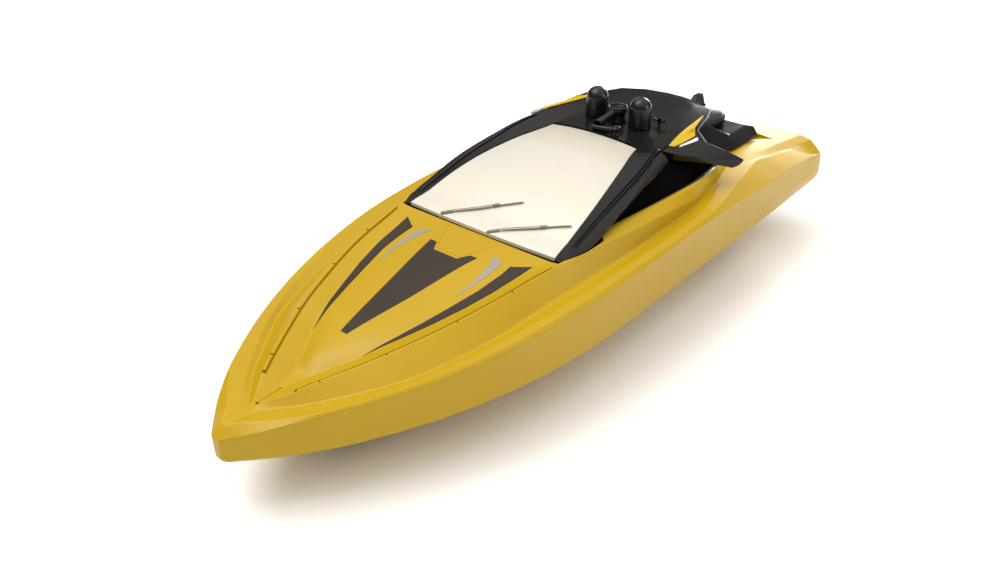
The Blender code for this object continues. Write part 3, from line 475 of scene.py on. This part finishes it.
# ---------------------------------------------------------------- deck
def deck_half(y):
    """Port half of the deck's section from the sheer to the centre, with its corners rounded."""
    lines = [track(line, y) for line in (SHEER, RAIL_OUT, RAIL_IN, FLOOR, CREST, INNER)]
    for i in range(1, 6):
        lines[i] = (min(lines[i][0], max(lines[i - 1][0] - 0.12, 0.0)), lines[i][1])
    lines = [(bow_round(x, y), z) for x, z in lines]
    sheer, out, rail, floor, crest, inner = lines
    run = np.hypot(inner[0] - crest[0], inner[1] - crest[1])
    depth = 0.75 * ease(y, -104.2, -103.4) * (1 - ease(y, -29.4, -28.6)) if y < 0 else 0.0
    groove = []
    for d, down in ((0.7, 0), (0.85, 1), (1.35, 1), (1.5, 0)):
        f = min(d / max(run, 0.01), 0.1 + 0.1 * d)
        z = crest[1] + (inner[1] - crest[1]) * f - depth * down
        groove.append((crest[0] + (inner[0] - crest[0]) * f, z))
    zc = track(CENTRE, y)[1]
    hood = [(inner[0] * f, zc + (inner[1] - zc) * f * f) for f in (0.84, 0.68, 0.52, 0.36, 0.2, 0.08, 0.0)]
    soft = 0.6 + 7 * ease(y, -96, -60) - 6.8 * ease(y, -40, -28)
    points = [sheer, out, rail, floor, crest] + groove + [inner] + hood
    channel = 0.8 + 2.0 * ease(y, -60, 0) * (1 - ease(y, 20, 44))
    radii = [0, 0.25, 0.3, channel, 0.4, 0.1, 0.1, 0.1, 0.1, soft, 2, 2, 2, 2, 2, 2, 0]
    return rounded(points, radii, 3)


def deck_z(x, y):
    half = deck_half(y)[::-1]
    return float(np.interp(abs(x), [p[0] for p in half], [p[1] for p in half]))


def hatch_half(y):
    lap = ease(y, -9, -6)
    return (track(ROOF_EDGE, y)[0] + 0.3) * (1 - lap) + track(HATCH, y)[0] * lap


def build_deck():
    top, low = [], []
    for y in DECK_YS:
        half = deck_half(y)
        drop = [0.1, 0.6, 1.1, 1.5] + [SKIN] * (len(half) - 4)
        row = [(x, y, z) for x, z in half] + [(-x, y, z) for x, z in half[-2::-1]]
        thin = ease(y, -125, -123) * ease(y, 125, 123)
        fall = [0.1 + (d - 0.1) * thin for d in drop + drop[-2::-1]]
        if y > STERN_WALL:
            fall = [max(z - track(SHEER, y)[1] + 0.05, 0.1) for x, _, z in row]
        top.append(row)
        low.append([(x, y, z - d) for (x, y, z), d in zip(row, fall)])
    cutters = [wall(hatch_half, steps((-26.9, -9, 10), (-8.6, -5.4, 9), (-5, 104, 40)), 20, 60)]
    details = bmesh.new()
    for side in (1, -1):
        for x, y in ((9.7, -98.7), (17.6, -82.3), (24.8, -62.7), (29.2, -44.9)):
            z = deck_z(x, y)
            spot = Matrix.Translation((side * (x - 0.35), y, z)) @ Matrix.Rotation(-side * 0.42, 4, "Z")
            bmesh.ops.create_cube(details, size=1.0, matrix=spot @ Matrix.Diagonal((1.3, 0.55, 1.1, 1.0)))
        lathe([(0, 1.2), (0.55, 1.2), (0.5, -0.7), (0, -0.7)], 16, (side * 6.4, -104.0, 29.6), 0, details)
    lathe([(0, 1.2), (0.5, 1.2), (0.5, -0.7), (0, -0.7)], 16, (0, -111.6, 27.2), 0, details)
    cutters.append(to_mesh(details))
    for s in (1, -1):
        wedge = [(22.0, 111.4, 35.9), (30.9, 109.9, 37.64), (28.3, 103.6, 37.95),
                 (27.2, 96.5, 38.5), (22.0, 96.5, 37.4)]
        cutters.append(prism(wedge, [(x, y, 42) for x, y, z in wedge], 0.02, s))
    seam = ((-10.2, -28.2), (-7.3, -34), (-4.4, -39.8), (-2, -39.8), (2, -39.8), (4.4, -39.8), (7.3, -34),
            (10.2, -28.2))
    cutters.append(pipe([(x, y, deck_z(x, y) + 0.06) for x, y in seam], 0.2, 8))
    cutters.append(pipe([(0, -111.6, deck_z(0, -111.6) + 0.1), (0, -107, deck_z(0, -107) + 0.1),
                         (0, -103.6, deck_z(0, -103.6) + 0.05)], 0.36, 8))
    deck = cut(grid_solid(top, low), cutters)
    return piece("deck_moulding", deck, YELLOW, "boat", ["deck_shell"], 30, True)


def strip(name, edges, material, body, surface, cols=5, rows=24, lift=FILM_LIFT):
    """Thin film between two edge lines, laid on a surface z(x, y): edges are pairs of (x, y)."""
    e = np.array(edges, float)
    t = np.concatenate(([0], np.cumsum(np.linalg.norm(np.diff(e.mean(1), axis=0), axis=1))))
    at = np.linspace(0, t[-1], rows)
    left = np.stack([np.interp(at, t, e[:, 0, k]) for k in (0, 1)], 1)
    right = np.stack([np.interp(at, t, e[:, 1, k]) for k in (0, 1)], 1)
    top, low = [], []
    for a, b in zip(left, right):
        row = [(a + (b - a) * f) for f in np.linspace(0, 1, cols)]
        top.append([(x, y, surface(x, y) + lift) for x, y in row])
        low.append([(x, y, surface(x, y) - 0.05) for x, y in row])
    return piece(name, grid_solid(top, low), material, body)


def build_decals():
    for s, tag in ((1, "l"), (-1, "r")):
        swoosh = [((25.1, -31.0), (19.6, -34.4)), ((24.2, -37.5), (19.8, -38.8)),
                  ((23.0, -46.0), (19.2, -47.5)), ((20.5, -56.3), (17.0, -58.0)),
                  ((17.6, -65.3), (15.1, -66.3)), ((14.6, -73.8), (12.9, -75.0)),
                  ((10.0, -84.0), (9.9, -84.2))]
        flash = [((16.9, -34.9), (12.7, -32.9)), ((17.0, -39.5), (14.6, -38.5)),
                 ((16.9, -44.5), (15.4, -44.2)), ((16.4, -49.0), (15.6, -49.0)),
                 ((15.6, -53.6), (15.5, -53.6))]
        for name, edges, mat in (("swoosh", swoosh, DECAL_DARK), ("flash", flash, DECAL_GREY)):
            strip("decal_" + name + "_" + tag, [((s * a[0], a[1]), (s * b[0], b[1])) for a, b in edges],
                  mat, "boat", deck_z, 5, 34)
    panel = [((-1.2, -81.6), (1.2, -81.6)), ((-4.9, -62.0), (4.9, -62.0)), ((-8.5, -40.9), (8.5, -40.9))]
    strip("decal_panel", panel, DECAL_DARK, "boat", deck_z, 9, 30)
    for s, tag in ((1, "l"), (-1, "r")):
        prong = [((s * 8.5, -40.9), (s * 4.5, -40.9)), ((s * 9.25, -37.1), (s * 6.7, -37.3))]
        strip("decal_prong_" + tag, prong, DECAL_DARK, "boat", deck_z, 4, 5)


# ---------------------------------------------------------------- cabin
def ribs(y):
    """Groove, raised bead and cheek of the screen post, as (fraction of its width, height)."""
    places, fractions = (-22, -16, -8, 0, 8, 16, 24, 30), (0.47, 0.43, 0.41, 0.49, 0.575, 0.67, 0.81, 0.855)
    a = float(np.interp(y, places, fractions))
    rest = 0.985 - a - 0.125
    rows = [(0.0, -0.45), (0.03, -0.05), (0.10, 0.0), (a - 0.06, 0.0), (a - 0.035, -0.5), (a - 0.01, -0.5),
            (a + 0.01, 0.22), (a + 0.045, 0.34), (a + 0.08, 0.2), (a + 0.1, -0.4), (a + 0.125, -0.42),
            (a + 0.125 + 0.35 * rest, -0.14), (a + 0.125 + 0.8 * rest, -0.1), (0.985, -0.2), (1.0, -0.55)]
    fade = ease(y, -19.5, -17.8) * (1 - ease(y, 34.2, 34.9))
    return [(f, h if i < 2 or f > 0.98 else h * fade) for i, (f, h) in enumerate(rows)]


def roof_z(x, y):
    glass, mid, edge = track(GLASS_EDGE, y), track(ROOF_MID, y), track(ROOF_EDGE, y)
    x = abs(x)
    if x <= glass[0]:
        return mid[1] + (glass[1] - mid[1]) * (x / glass[0]) ** 2
    f = min((x - glass[0]) / max(edge[0] - glass[0], 0.01), 1.0)
    return glass[1] + (edge[1] - glass[1]) * f


def build_cabin():
    ys = steps((-25.8, -20, 10), (-20, 31, 50), (31, 36, 13), (36, 78, 34), (78, 86.5, 16))
    glass_rows = [y for y in ys if y < 34.0]
    top, low = [], []
    for y in ys:
        glass, edge = track(GLASS_EDGE, y), track(ROOF_EDGE, y)
        half = [(glass[0] * f, roof_z(glass[0] * f, y)) for f in (0.0, 0.2, 0.4, 0.6, 0.8, 0.92)]
        for i, (f, h) in enumerate(ribs(y)):
            x = glass[0] + (edge[0] - glass[0]) * f
            half.append((x, roof_z(x, y) + (h if y < 34 or i > 1 else 0.0)))
        under = [(x, z - 2.0) for x, z in half[:-2]] + [(x - 1.25, z - 1.3) for x, z in half[-2:]]
        k = float(np.interp(y, (0, 8, 16, 24, 29, 34.2, 34.9), (0, 0.15, 0.32, 0.8, 1, 1, 0)))
        for dx, dz in ((1.1, 0.35), (2.3, 1.0), (3.0, 1.7), (3.0, 2.6), (2.2, 3.0)):
            half.append((edge[0] + dx * k + 0.002 * dz, edge[1] - 0.55 - dz * k - 0.04 * dz))
            under.append((edge[0] - 1.2 + 1.7 * k, edge[1] - 1.85 - 1.9 * k - 0.08 * dz))
        port = [(x, y, z) for x, z in half]
        below = [(x, y, z) for x, z in under]
        top.append([(-x, yy, z) for x, yy, z in port[:0:-1]] + port)
        low.append([(-x, yy, z) for x, yy, z in below[:0:-1]] + below)
    middle = len(top[0]) // 2
    n_open = 6

    def roofed(i, j):
        return i >= len(glass_rows) or not middle - n_open <= j < middle + n_open

    mesh = grid_solid(top, low, roofed)
    piece("canopy_moulding", mesh, BLACK, "cabin", ["canopy_shell"], 26)

    rows_top, rows_low = [], []
    for y in steps((-25.6, 33.7, 40)):
        glass = track(GLASS_EDGE, y)
        bow = 1.0 * max(0.0, 1 - (y + 25.6) / 6)
        rise = 0.95 * (1 - ease(y, -25.6, -17.5)) - GLASS_DROP
        row = [((glass[0] - 0.08) * f, y - bow * (1 - f * f), roof_z((glass[0] - 0.08) * f, y) + rise)
               for f in np.linspace(-1, 1, 25)]
        rows_top.append(row)
        rows_low.append([(x, yy, z - 1.1) for x, yy, z in row])
    piece("windscreen_panel", grid_solid(rows_top, rows_low), FILM, "cabin", ["windscreen"])


def solid(points, faces, soft, side=1, bm=None):
    """Closed body from corner points and faces, its sharp edges bevelled by soft."""
    own = bmesh.new()
    verts = [own.verts.new((side * x, y, z)) for x, y, z in points]
    for face in faces:
        own.faces.new([verts[i] for i in face])
    bmesh.ops.recalc_face_normals(own, faces=own.faces)
    sharp = [e for e in own.edges if e.calc_face_angle(0) > radians(16)]
    bmesh.ops.bevel(own, geom=sharp, offset=soft, segments=2, profile=0.6, affect="EDGES")
    if bm is None:
        return to_mesh(own)
    part = bpy.data.meshes.new("part")
    own.to_mesh(part)
    own.free()
    bm.from_mesh(part)
    bpy.data.meshes.remove(part)
    return bm


def prism(low, top, soft, side=1, bm=None):
    """Closed body between two equal outlines."""
    n = len(low)
    faces = [tuple(range(n))[::-1], tuple(range(n, 2 * n))]
    faces += [(i, (i + 1) % n, n + (i + 1) % n, n + i) for i in range(n)]
    return solid(list(low) + list(top), faces, soft, side, bm)


def build_wings():
    points = [(26.4, 34.4, 55.9), (29.6, 36.8, 54.9), (33.4, 43.0, 53.0), (41.3, 64.6, 46.9),
              (36.9, 60.9, 50.0), (30.5, 56.0, 53.2), (25.0, 59.5, 55.2), (25.4, 47.0, 55.9),
              (25.5, 35.5, 53.8), (29.2, 37.4, 52.4), (32.7, 43.4, 50.8), (36.9, 51.7, 48.2),
              (40.8, 62.1, 45.6), (39.5, 60.0, 44.9), (35.9, 60.2, 48.4), (29.5, 56.2, 51.6),
              (24.2, 59.0, 53.6), (24.0, 47.0, 54.0)]
    faces = [(0, 1, 7), (1, 2, 7), (2, 5, 7), (5, 6, 7), (2, 3, 4), (2, 4, 5), (1, 9, 10, 2), (2, 10, 11),
             (2, 11, 12), (2, 12, 3), (3, 12, 13), (3, 13, 4), (13, 14, 4), (4, 14, 15, 5), (5, 15, 16, 6),
             (6, 16, 17, 7), (7, 17, 8, 0), (0, 8, 9, 1), (8, 17, 9), (9, 17, 10), (10, 17, 15), (17, 16, 15),
             (10, 15, 14), (10, 14, 11), (11, 14, 13), (11, 13, 12)]
    for s, tag in ((1, "l"), (-1, "r")):
        blade = solid(points, faces, 0.2, s)
        piece("wing_" + tag, blade, BLACK, "cabin", ["roof_wing_" + tag], 22, True)

        def skin(x, y):
            if abs(x) < track(ROOF_EDGE, y)[0] - 0.2:
                return roof_z(x, y)
            for ids in ((1, 2, 7), (2, 5, 7), (5, 6, 7), (0, 1, 7)):
                a, b, c = (np.array(points[i]) for i in ids)
                u, v = np.linalg.solve(np.array([(b - a)[:2], (c - a)[:2]]).T, np.array([abs(x), y]) - a[:2])
                if u > -0.02 and v > -0.02 and u + v < 1.02:
                    return float(a[2] + u * (b - a)[2] + v * (c - a)[2])
            return 55.9 - 0.37 * (abs(x) - 25.4)

        yellow = [((20.2, 71.8), (20.5, 71.4)), ((21.2, 65.0), (22.9, 63.6)), ((22.0, 59.2), (24.9, 57.9)),
                  ((22.4, 56.4), (27.0, 54.6)), ((23.6, 50.0), (27.3, 50.0)), ((24.9, 44.0), (27.5, 44.6)),
                  ((26.1, 39.0), (27.4, 40.6))]
        dark = [((19.8, 72.9), (20.2, 73.0)), ((20.8, 65.0), (23.8, 63.6)), ((21.6, 59.2), (25.5, 57.4)),
                ((22.0, 56.4), (27.7, 54.5)), ((23.2, 50.0), (27.9, 50.0)), ((24.5, 44.0), (28.0, 43.4)),
                ((26.0, 38.4), (27.7, 39.6))]
        white = [((27.9, 54.6), (28.8, 53.6)), ((28.0, 49.0), (28.6, 48.6)), ((28.0, 42.6), (28.2, 42.4))]
        for name, edges, mat, lift in (("flash_border_", dark, MATTE_BLACK, 0.12),
                                       ("roof_flash_", yellow, DECAL_YELLOW, 0.40),
                                       ("wing_stripe_", white, DECAL_WHITE, 0.36)):
            edges = [((s * a[0], a[1]), (s * b[0], b[1])) for a, b in edges]
            strip(name + tag, edges, mat, "cabin", skin, 9, 50, lift)
        # painted highlight: a light grey rod along the roof's rear edge paints the gleam of light on that
        # edge
        edge = [(18.8, 79.4, 54.8), (22.0, 69.2, 55.1), (25.0, 59.7, 55.0), (27.5, 57.9, 54.3),
                (30.5, 56.1, 53.0)]
        gleam_rod = pipe([(s * x, y, z) for x, y, z in edge], 0.22, 10)
        piece("roof_painted_gleam_" + tag, gleam_rod, PAINTED_GLEAM_GREY, "cabin")


def build_side_windows():
    for s, tag in ((1, "l"), (-1, "r")):
        rings = []
        for y in steps((-4.5, 60, 34)):
            edge, sill = track(ROOF_EDGE, y), track(INNER, y)
            top = (edge[0] - 3.4, edge[1] - 2.9)
            low = (track(HATCH, y)[0] - 2.6, sill[1] - 2.4)
            mid = (0.5 * (top[0] + low[0]) + 0.5, 0.5 * (top[1] + low[1]))
            section = (top, (top[0] - 1.2, top[1]), (low[0] - 1.2, low[1]), low, mid)
            rings.append([(s * x, y, z) for x, z in section])
        piece("window_" + tag, loft(rings), GLASS_BLACK, "cabin", ["side_window_" + tag])


def build_roof_fittings():
    angles = (84, 74, 64, 54, 44, 34, 24, 14, 6, 0)
    for s, tag in ((1, "l"), (-1, "r")):
        arc = [(3.78 * cos(radians(d)), 62.35 + 3.72 * sin(radians(d))) for d in angles]
        profile = [(0, 66.07)] + arc + [(3.80, 62.0), (3.84, 57.0), (3.92, 56.4), (3.92, 55.9), (0, 55.9)]
        dome = lathe(profile, 64, (s * 8.9, 48.1, 0))
        piece("dome_" + tag, dome, GLOSS_BLACK, "cabin", ["roof_dome_" + tag])
    profile = [(0, 60.35), (2.5, 60.35), (2.7, 60.5), (2.8, 60.95), (3.0, 61.1), (3.3, 61.0),
               (3.45, 60.6), (3.45, 59.7), (3.3, 59.5), (2.95, 59.3), (2.85, 58.6), (2.85, 57.4),
               (3.3, 56.7), (3.5, 55.9), (0, 55.9)]
    piece("cap", lathe(profile, 64, (0, 47.8, 0)), GLOSS_BLACK, "cabin", ["roof_cap"])
    horn = bmesh.new()
    profile = [(0, 6.6), (1.1, 6.8), (1.25, 8.2), (1.55, 8.35), (1.75, 8.1), (1.7, 7.2), (1.5, 4.5),
               (1.35, 2.0), (1.3, -1.0), (0, -1.0)]
    lathe(profile, 40, (0, 44.0, 59.3), radians(99), horn)
    pipe([(-1.9, 35.0, 57.2), (1.5, 35.2, 57.3), (6.6, 36.2, 57.6)], 0.75, 16, horn)
    prism([(-2.8, 34.2, 55.8), (-0.8, 34.2, 55.8), (-0.8, 36.4, 55.8), (-2.8, 36.4, 55.8)],
          [(-2.5, 34.4, 58.1), (-1.1, 34.4, 58.1), (-1.1, 36.2, 58.1), (-2.5, 36.2, 58.1)], 0.2, 1, horn)
    piece("horn", to_mesh(horn), GLOSS_BLACK, "cabin", ["roof_horn"])
    profile = [(0, 58.55), (1.1, 58.7), (1.42, 58.5), (1.5, 58.1), (1.42, 57.7), (1.2, 57.4),
               (1.15, 56.6), (1.4, 56.2), (1.45, 55.7), (0, 55.7)]
    piece("post", lathe(profile, 40, (7.0, 36.4, 0)), GLOSS_BLACK, "cabin", ["roof_post"])
    bracket = bmesh.new()
    profile = [(0, 58.7), (0.45, 58.6), (0.65, 58.3), (0.62, 57.6), (0.55, 55.9), (0, 55.9)]
    lathe(profile, 28, (13.4, 53.6, 0), 0, bracket)
    arm = [(x, 53.6, 57.35) for x in (11.3, 12.0, 14.8, 15.5)]
    pipe(arm, [0.62, 0.42, 0.42, 0.62], 18, bracket)
    piece("bracket", to_mesh(bracket), GLOSS_BLACK, "cabin", ["roof_bracket"])


def build_rear_cover():
    rows = [(63, 20.0, 52.6, 25.6, 46.0), (78, 18.2, 50.0, 26.0, 41.2), (86, 18.6, 46.0, 26.6, 39.6),
            (93, 20.8, 42.0, 26.4, 39.2), (106, 21.0, 42.0, 25.0, 38.5), (110, 22.4, 40.6, 24.2, 38.2)]
    n = len(rows)
    points = []
    for y, tx, tz, lx, lz in rows:
        points += [(lx, y, lz), (tx, y, tz), (-tx, y, tz), (-lx, y, lz)]
    faces = [(0, 1, 2, 3), tuple(4 * n - 4 + i for i in (3, 2, 1, 0))]
    faces += [(4 * i + j, 4 * i + (j + 1) % 4, 4 * i + 4 + (j + 1) % 4, 4 * i + 4 + j) for i in range(n - 1)
              for j in range(4)]
    outer = solid(points, faces, 0.45)
    hollow = [(62, 18.4, 50.8, 24.0, 40), (78, 16.8, 48.2, 24.4, 36), (86, 17.0, 44.0, 24.6, 34),
              (92, 18.4, 40.4, 24.4, 34), (102, 18.4, 40.4, 21.6, 34)]
    cutters = [loft([[(lx, y, lz), (tx, y, tz), (-tx, y, tz), (-lx, y, lz)] for y, tx, tz, lx, lz in hollow])]
    cutters.append(lathe([(0, 60), (15.0, 60), (15.0, 42.0), (0, 42.0)], 72, (0, LOCK_Y, 0)))
    cutters.append(lathe([(0, 50), (3.3, 50), (3.3, 30), (0, 30)], 32, (0, LOCK_Y, 0)))
    piece("tail_cover", cut(outer, cutters), BLACK, "cabin", ["rear_cover"], 22, True)


def build_knob():
    profile = [(0, 44.9), (12.9, 44.9), (13.1, 44.82), (13.2, 44.6), (13.35, 44.5), (13.9, 44.45),
               (14.15, 44.2), (14.2, 43.8), (14.2, 42.9), (14.0, 42.5), (13.5, 42.3), (3.0, 42.3),
               (3.0, 36.1), (0, 36.1)]
    disc = lathe(profile, 96, (0, LOCK_Y, 0))
    fin = prism([(-1.75, 95.8, 44), (1.75, 95.8, 44), (1.75, 108.6, 44), (-1.75, 108.6, 44)],
                [(-0.95, 102.4, 49.9), (0.95, 102.4, 49.9), (0.95, 106.8, 49.9), (-0.95, 106.8, 49.9)], 0.3)
    grooves = bmesh.new()
    for k in range(6):
        z = 45.7 + 0.65 * k
        half = 1.62 - 0.13 * (z - 44)
        for s in (1, -1):
            x = s * (half + 0.12)
            pipe([(x, 98.6 + (z - 44) * 1.1, z), (x, 107.6 - (z - 44) * 0.3, z)], 0.17, 8, grooves)
    knob = cut(cut(disc, [fin], "UNION"), [to_mesh(grooves)])
    piece("knob", knob, MATTE_BLACK, "lock", ["lock_knob"], 30)


def build_wipers():
    for tag, base, clip, tip in (("r", (-14.0, -25.2), (-1.1, -16.0), (5.4, -12.0)),
                                 ("l", (5.2, -25.6), (18.2, -17.0), (24.6, -13.2))):
        bm = bmesh.new()
        run = Vector((clip[0] - base[0], clip[1] - base[1], 0)).normalized()
        aside = Vector((-run.y, run.x, 0))

        def on(x, y, lift):
            return Vector((x, y, roof_z(x, y) - GLASS_DROP + lift + 0.95 * (1 - ease(y, -25.6, -17.5))))

        def along(a, b, t, shift=0.0, lift=0.6):
            x = a[0] + (b[0] - a[0]) * t + aside.x * shift
            y = a[1] + (b[1] - a[1]) * t + aside.y * shift
            return on(x, y, lift)

        boss = [along(base, clip, t, 0, 0.5) for t in (-0.1, -0.08, 0.02, 0.12, 0.15)]
        pipe(boss, [0.3, 0.52, 0.55, 0.5, 0.28], 16, bm)
        for shift in (0.32, -0.32):
            pipe([along(base, clip, t, shift, 0.72) for t in np.linspace(0.08, 1.0, 9)], 0.13, 10, bm)
        pipe([along(base, clip, t, 0, 0.6) for t in (0.93, 0.95, 1.05, 1.07)], [0.3, 0.5, 0.5, 0.3], 14, bm)
        pipe([along(base, tip, t, 0.1, 0.28) for t in np.linspace(0.12, 1.03, 14)], 0.14, 10, bm)
        pipe([along(base, tip, t, 0.1, 0.55) for t in np.linspace(0.68, 1.04, 8)], [0.2] * 7 + [0.12], 10, bm)
        piece("wiper_arm_" + tag, to_mesh(bm), GREY, "cabin", ["wiper_" + tag])


build_hull()
build_deck()
build_decals()
build_cabin()
build_wings()
build_side_windows()
build_roof_fittings()
build_rear_cover()
build_knob()
build_wipers()

# ---------------------------------------------------------------- carried-over nodes
LOOKS = {
    "lock_cam": STEEL, "lock_screw": STEEL, "hatch_gasket": RUBBER, "motor_can": STEEL,
    "motor_endbell": NYLON, "drive_coupling": RUBBER, "prop_shaft": STEEL, "stern_tube": BRASS,
    "stern_bush": NYLON, "propeller": NYLON, "prop_nut": BRASS, "motor_cradle": INNER_GREY,
    "motor_clamp": INNER_GREY, "clamp_screw": STEEL, "battery_tray": MATTE_BLACK,
    "battery_pack": BLUE, "battery_strap": RUBBER, "board_stand": MATTE_BLACK, "control_board": GREEN,
    "board_driver": GLOSS_BLACK, "board_crystal": STEEL, "board_capacitor": BLUE,
    "board_screw": STEEL, "switch_body": MATTE_BLACK, "switch_slider": NYLON,
    "switch_bracket": INNER_GREY, "sensor_pin": STEEL,
}
for name, ob in NODES.items():
    look = next((m for key, m in LOOKS.items() if name.startswith(key)), None)
    if look:
        ob.data.materials.clear()
        ob.data.materials.append(look)
        bevel = ob.modifiers.new("edge", "BEVEL")
        bevel.width, bevel.segments, bevel.limit_method, bevel.angle_limit = 0.00018, 2, "ANGLE", radians(35)

# ---------------------------------------------------------------- studio
world = bpy.data.worlds.new("studio")
bpy.context.scene.world = world
world.use_nodes = True
sky, wires = world.node_tree.nodes, world.node_tree.links
split = sky.new("ShaderNodeSeparateXYZ")
wires.new(sky.new("ShaderNodeTexCoord").outputs["Generated"], split.inputs["Vector"])
wires.new(ramp(sky, wires, split.outputs["Z"], 0.28, 0.92, (0.06, 0.058, 0.055), (1.0, 0.99, 0.97)),
          sky["Background"].inputs["Color"])
sky["Background"].inputs["Strength"].default_value = 1.6
floor_bm = bmesh.new()
bmesh.ops.create_grid(floor_bm, x_segments=8, y_segments=8, size=3000)
floor_mesh = to_mesh(floor_bm)
floor_mesh.transform(Matrix.Translation((0, 0, -0.0004)))
floor = bpy.data.objects.new("studio_floor", floor_mesh)
bpy.context.scene.collection.objects.link(floor)
paper = plastic("studio_white", (0.90, 0.90, 0.89), (0.93, 0.93, 0.92), 0.85, 0.03, 40, 0.0001)
floor_mesh.materials.append(paper)


def lamp(name, at, aim, size, watts, colour=(1, 1, 1)):
    light = bpy.data.lights.new(name, "AREA")
    light.shape, light.size, light.size_y = "RECTANGLE", size[0], size[1]
    light.energy, light.color = watts, colour
    ob = bpy.data.objects.new(name, light)
    ob.location = at
    ob.rotation_euler = (Vector(aim) - Vector(at)).to_track_quat("-Z", "Y").to_euler()
    bpy.context.scene.collection.objects.link(ob)


lamp("key", (-0.30, -0.22, 0.95), (0, 0, 0.02), (0.75, 0.75), 6.6)
lamp("back", (-0.140, 0.567, 0.104), (0.03, 0.11, 0.036), (0.16, 0.06), 0.85, (1, 0.96, 0.9))
lamp("side_fill", (0.60, 0.22, 0.24), (0.03, 0.03, 0.02), (0.4, 0.3), 1.1)

camera_data = bpy.data.cameras.new("camera")
camera_data.lens, camera_data.sensor_width, camera_data.clip_start = 35, 36, 0.001
camera = bpy.data.objects.new("camera", camera_data)
camera.location = (0.17363, -0.22314, 0.17873)
camera.rotation_euler = (radians(90 - 30.4654), 0, radians(39.9128))
bpy.context.scene.collection.objects.link(camera)
bpy.context.scene.camera = camera
bpy.context.scene.view_settings.view_transform = "Standard"
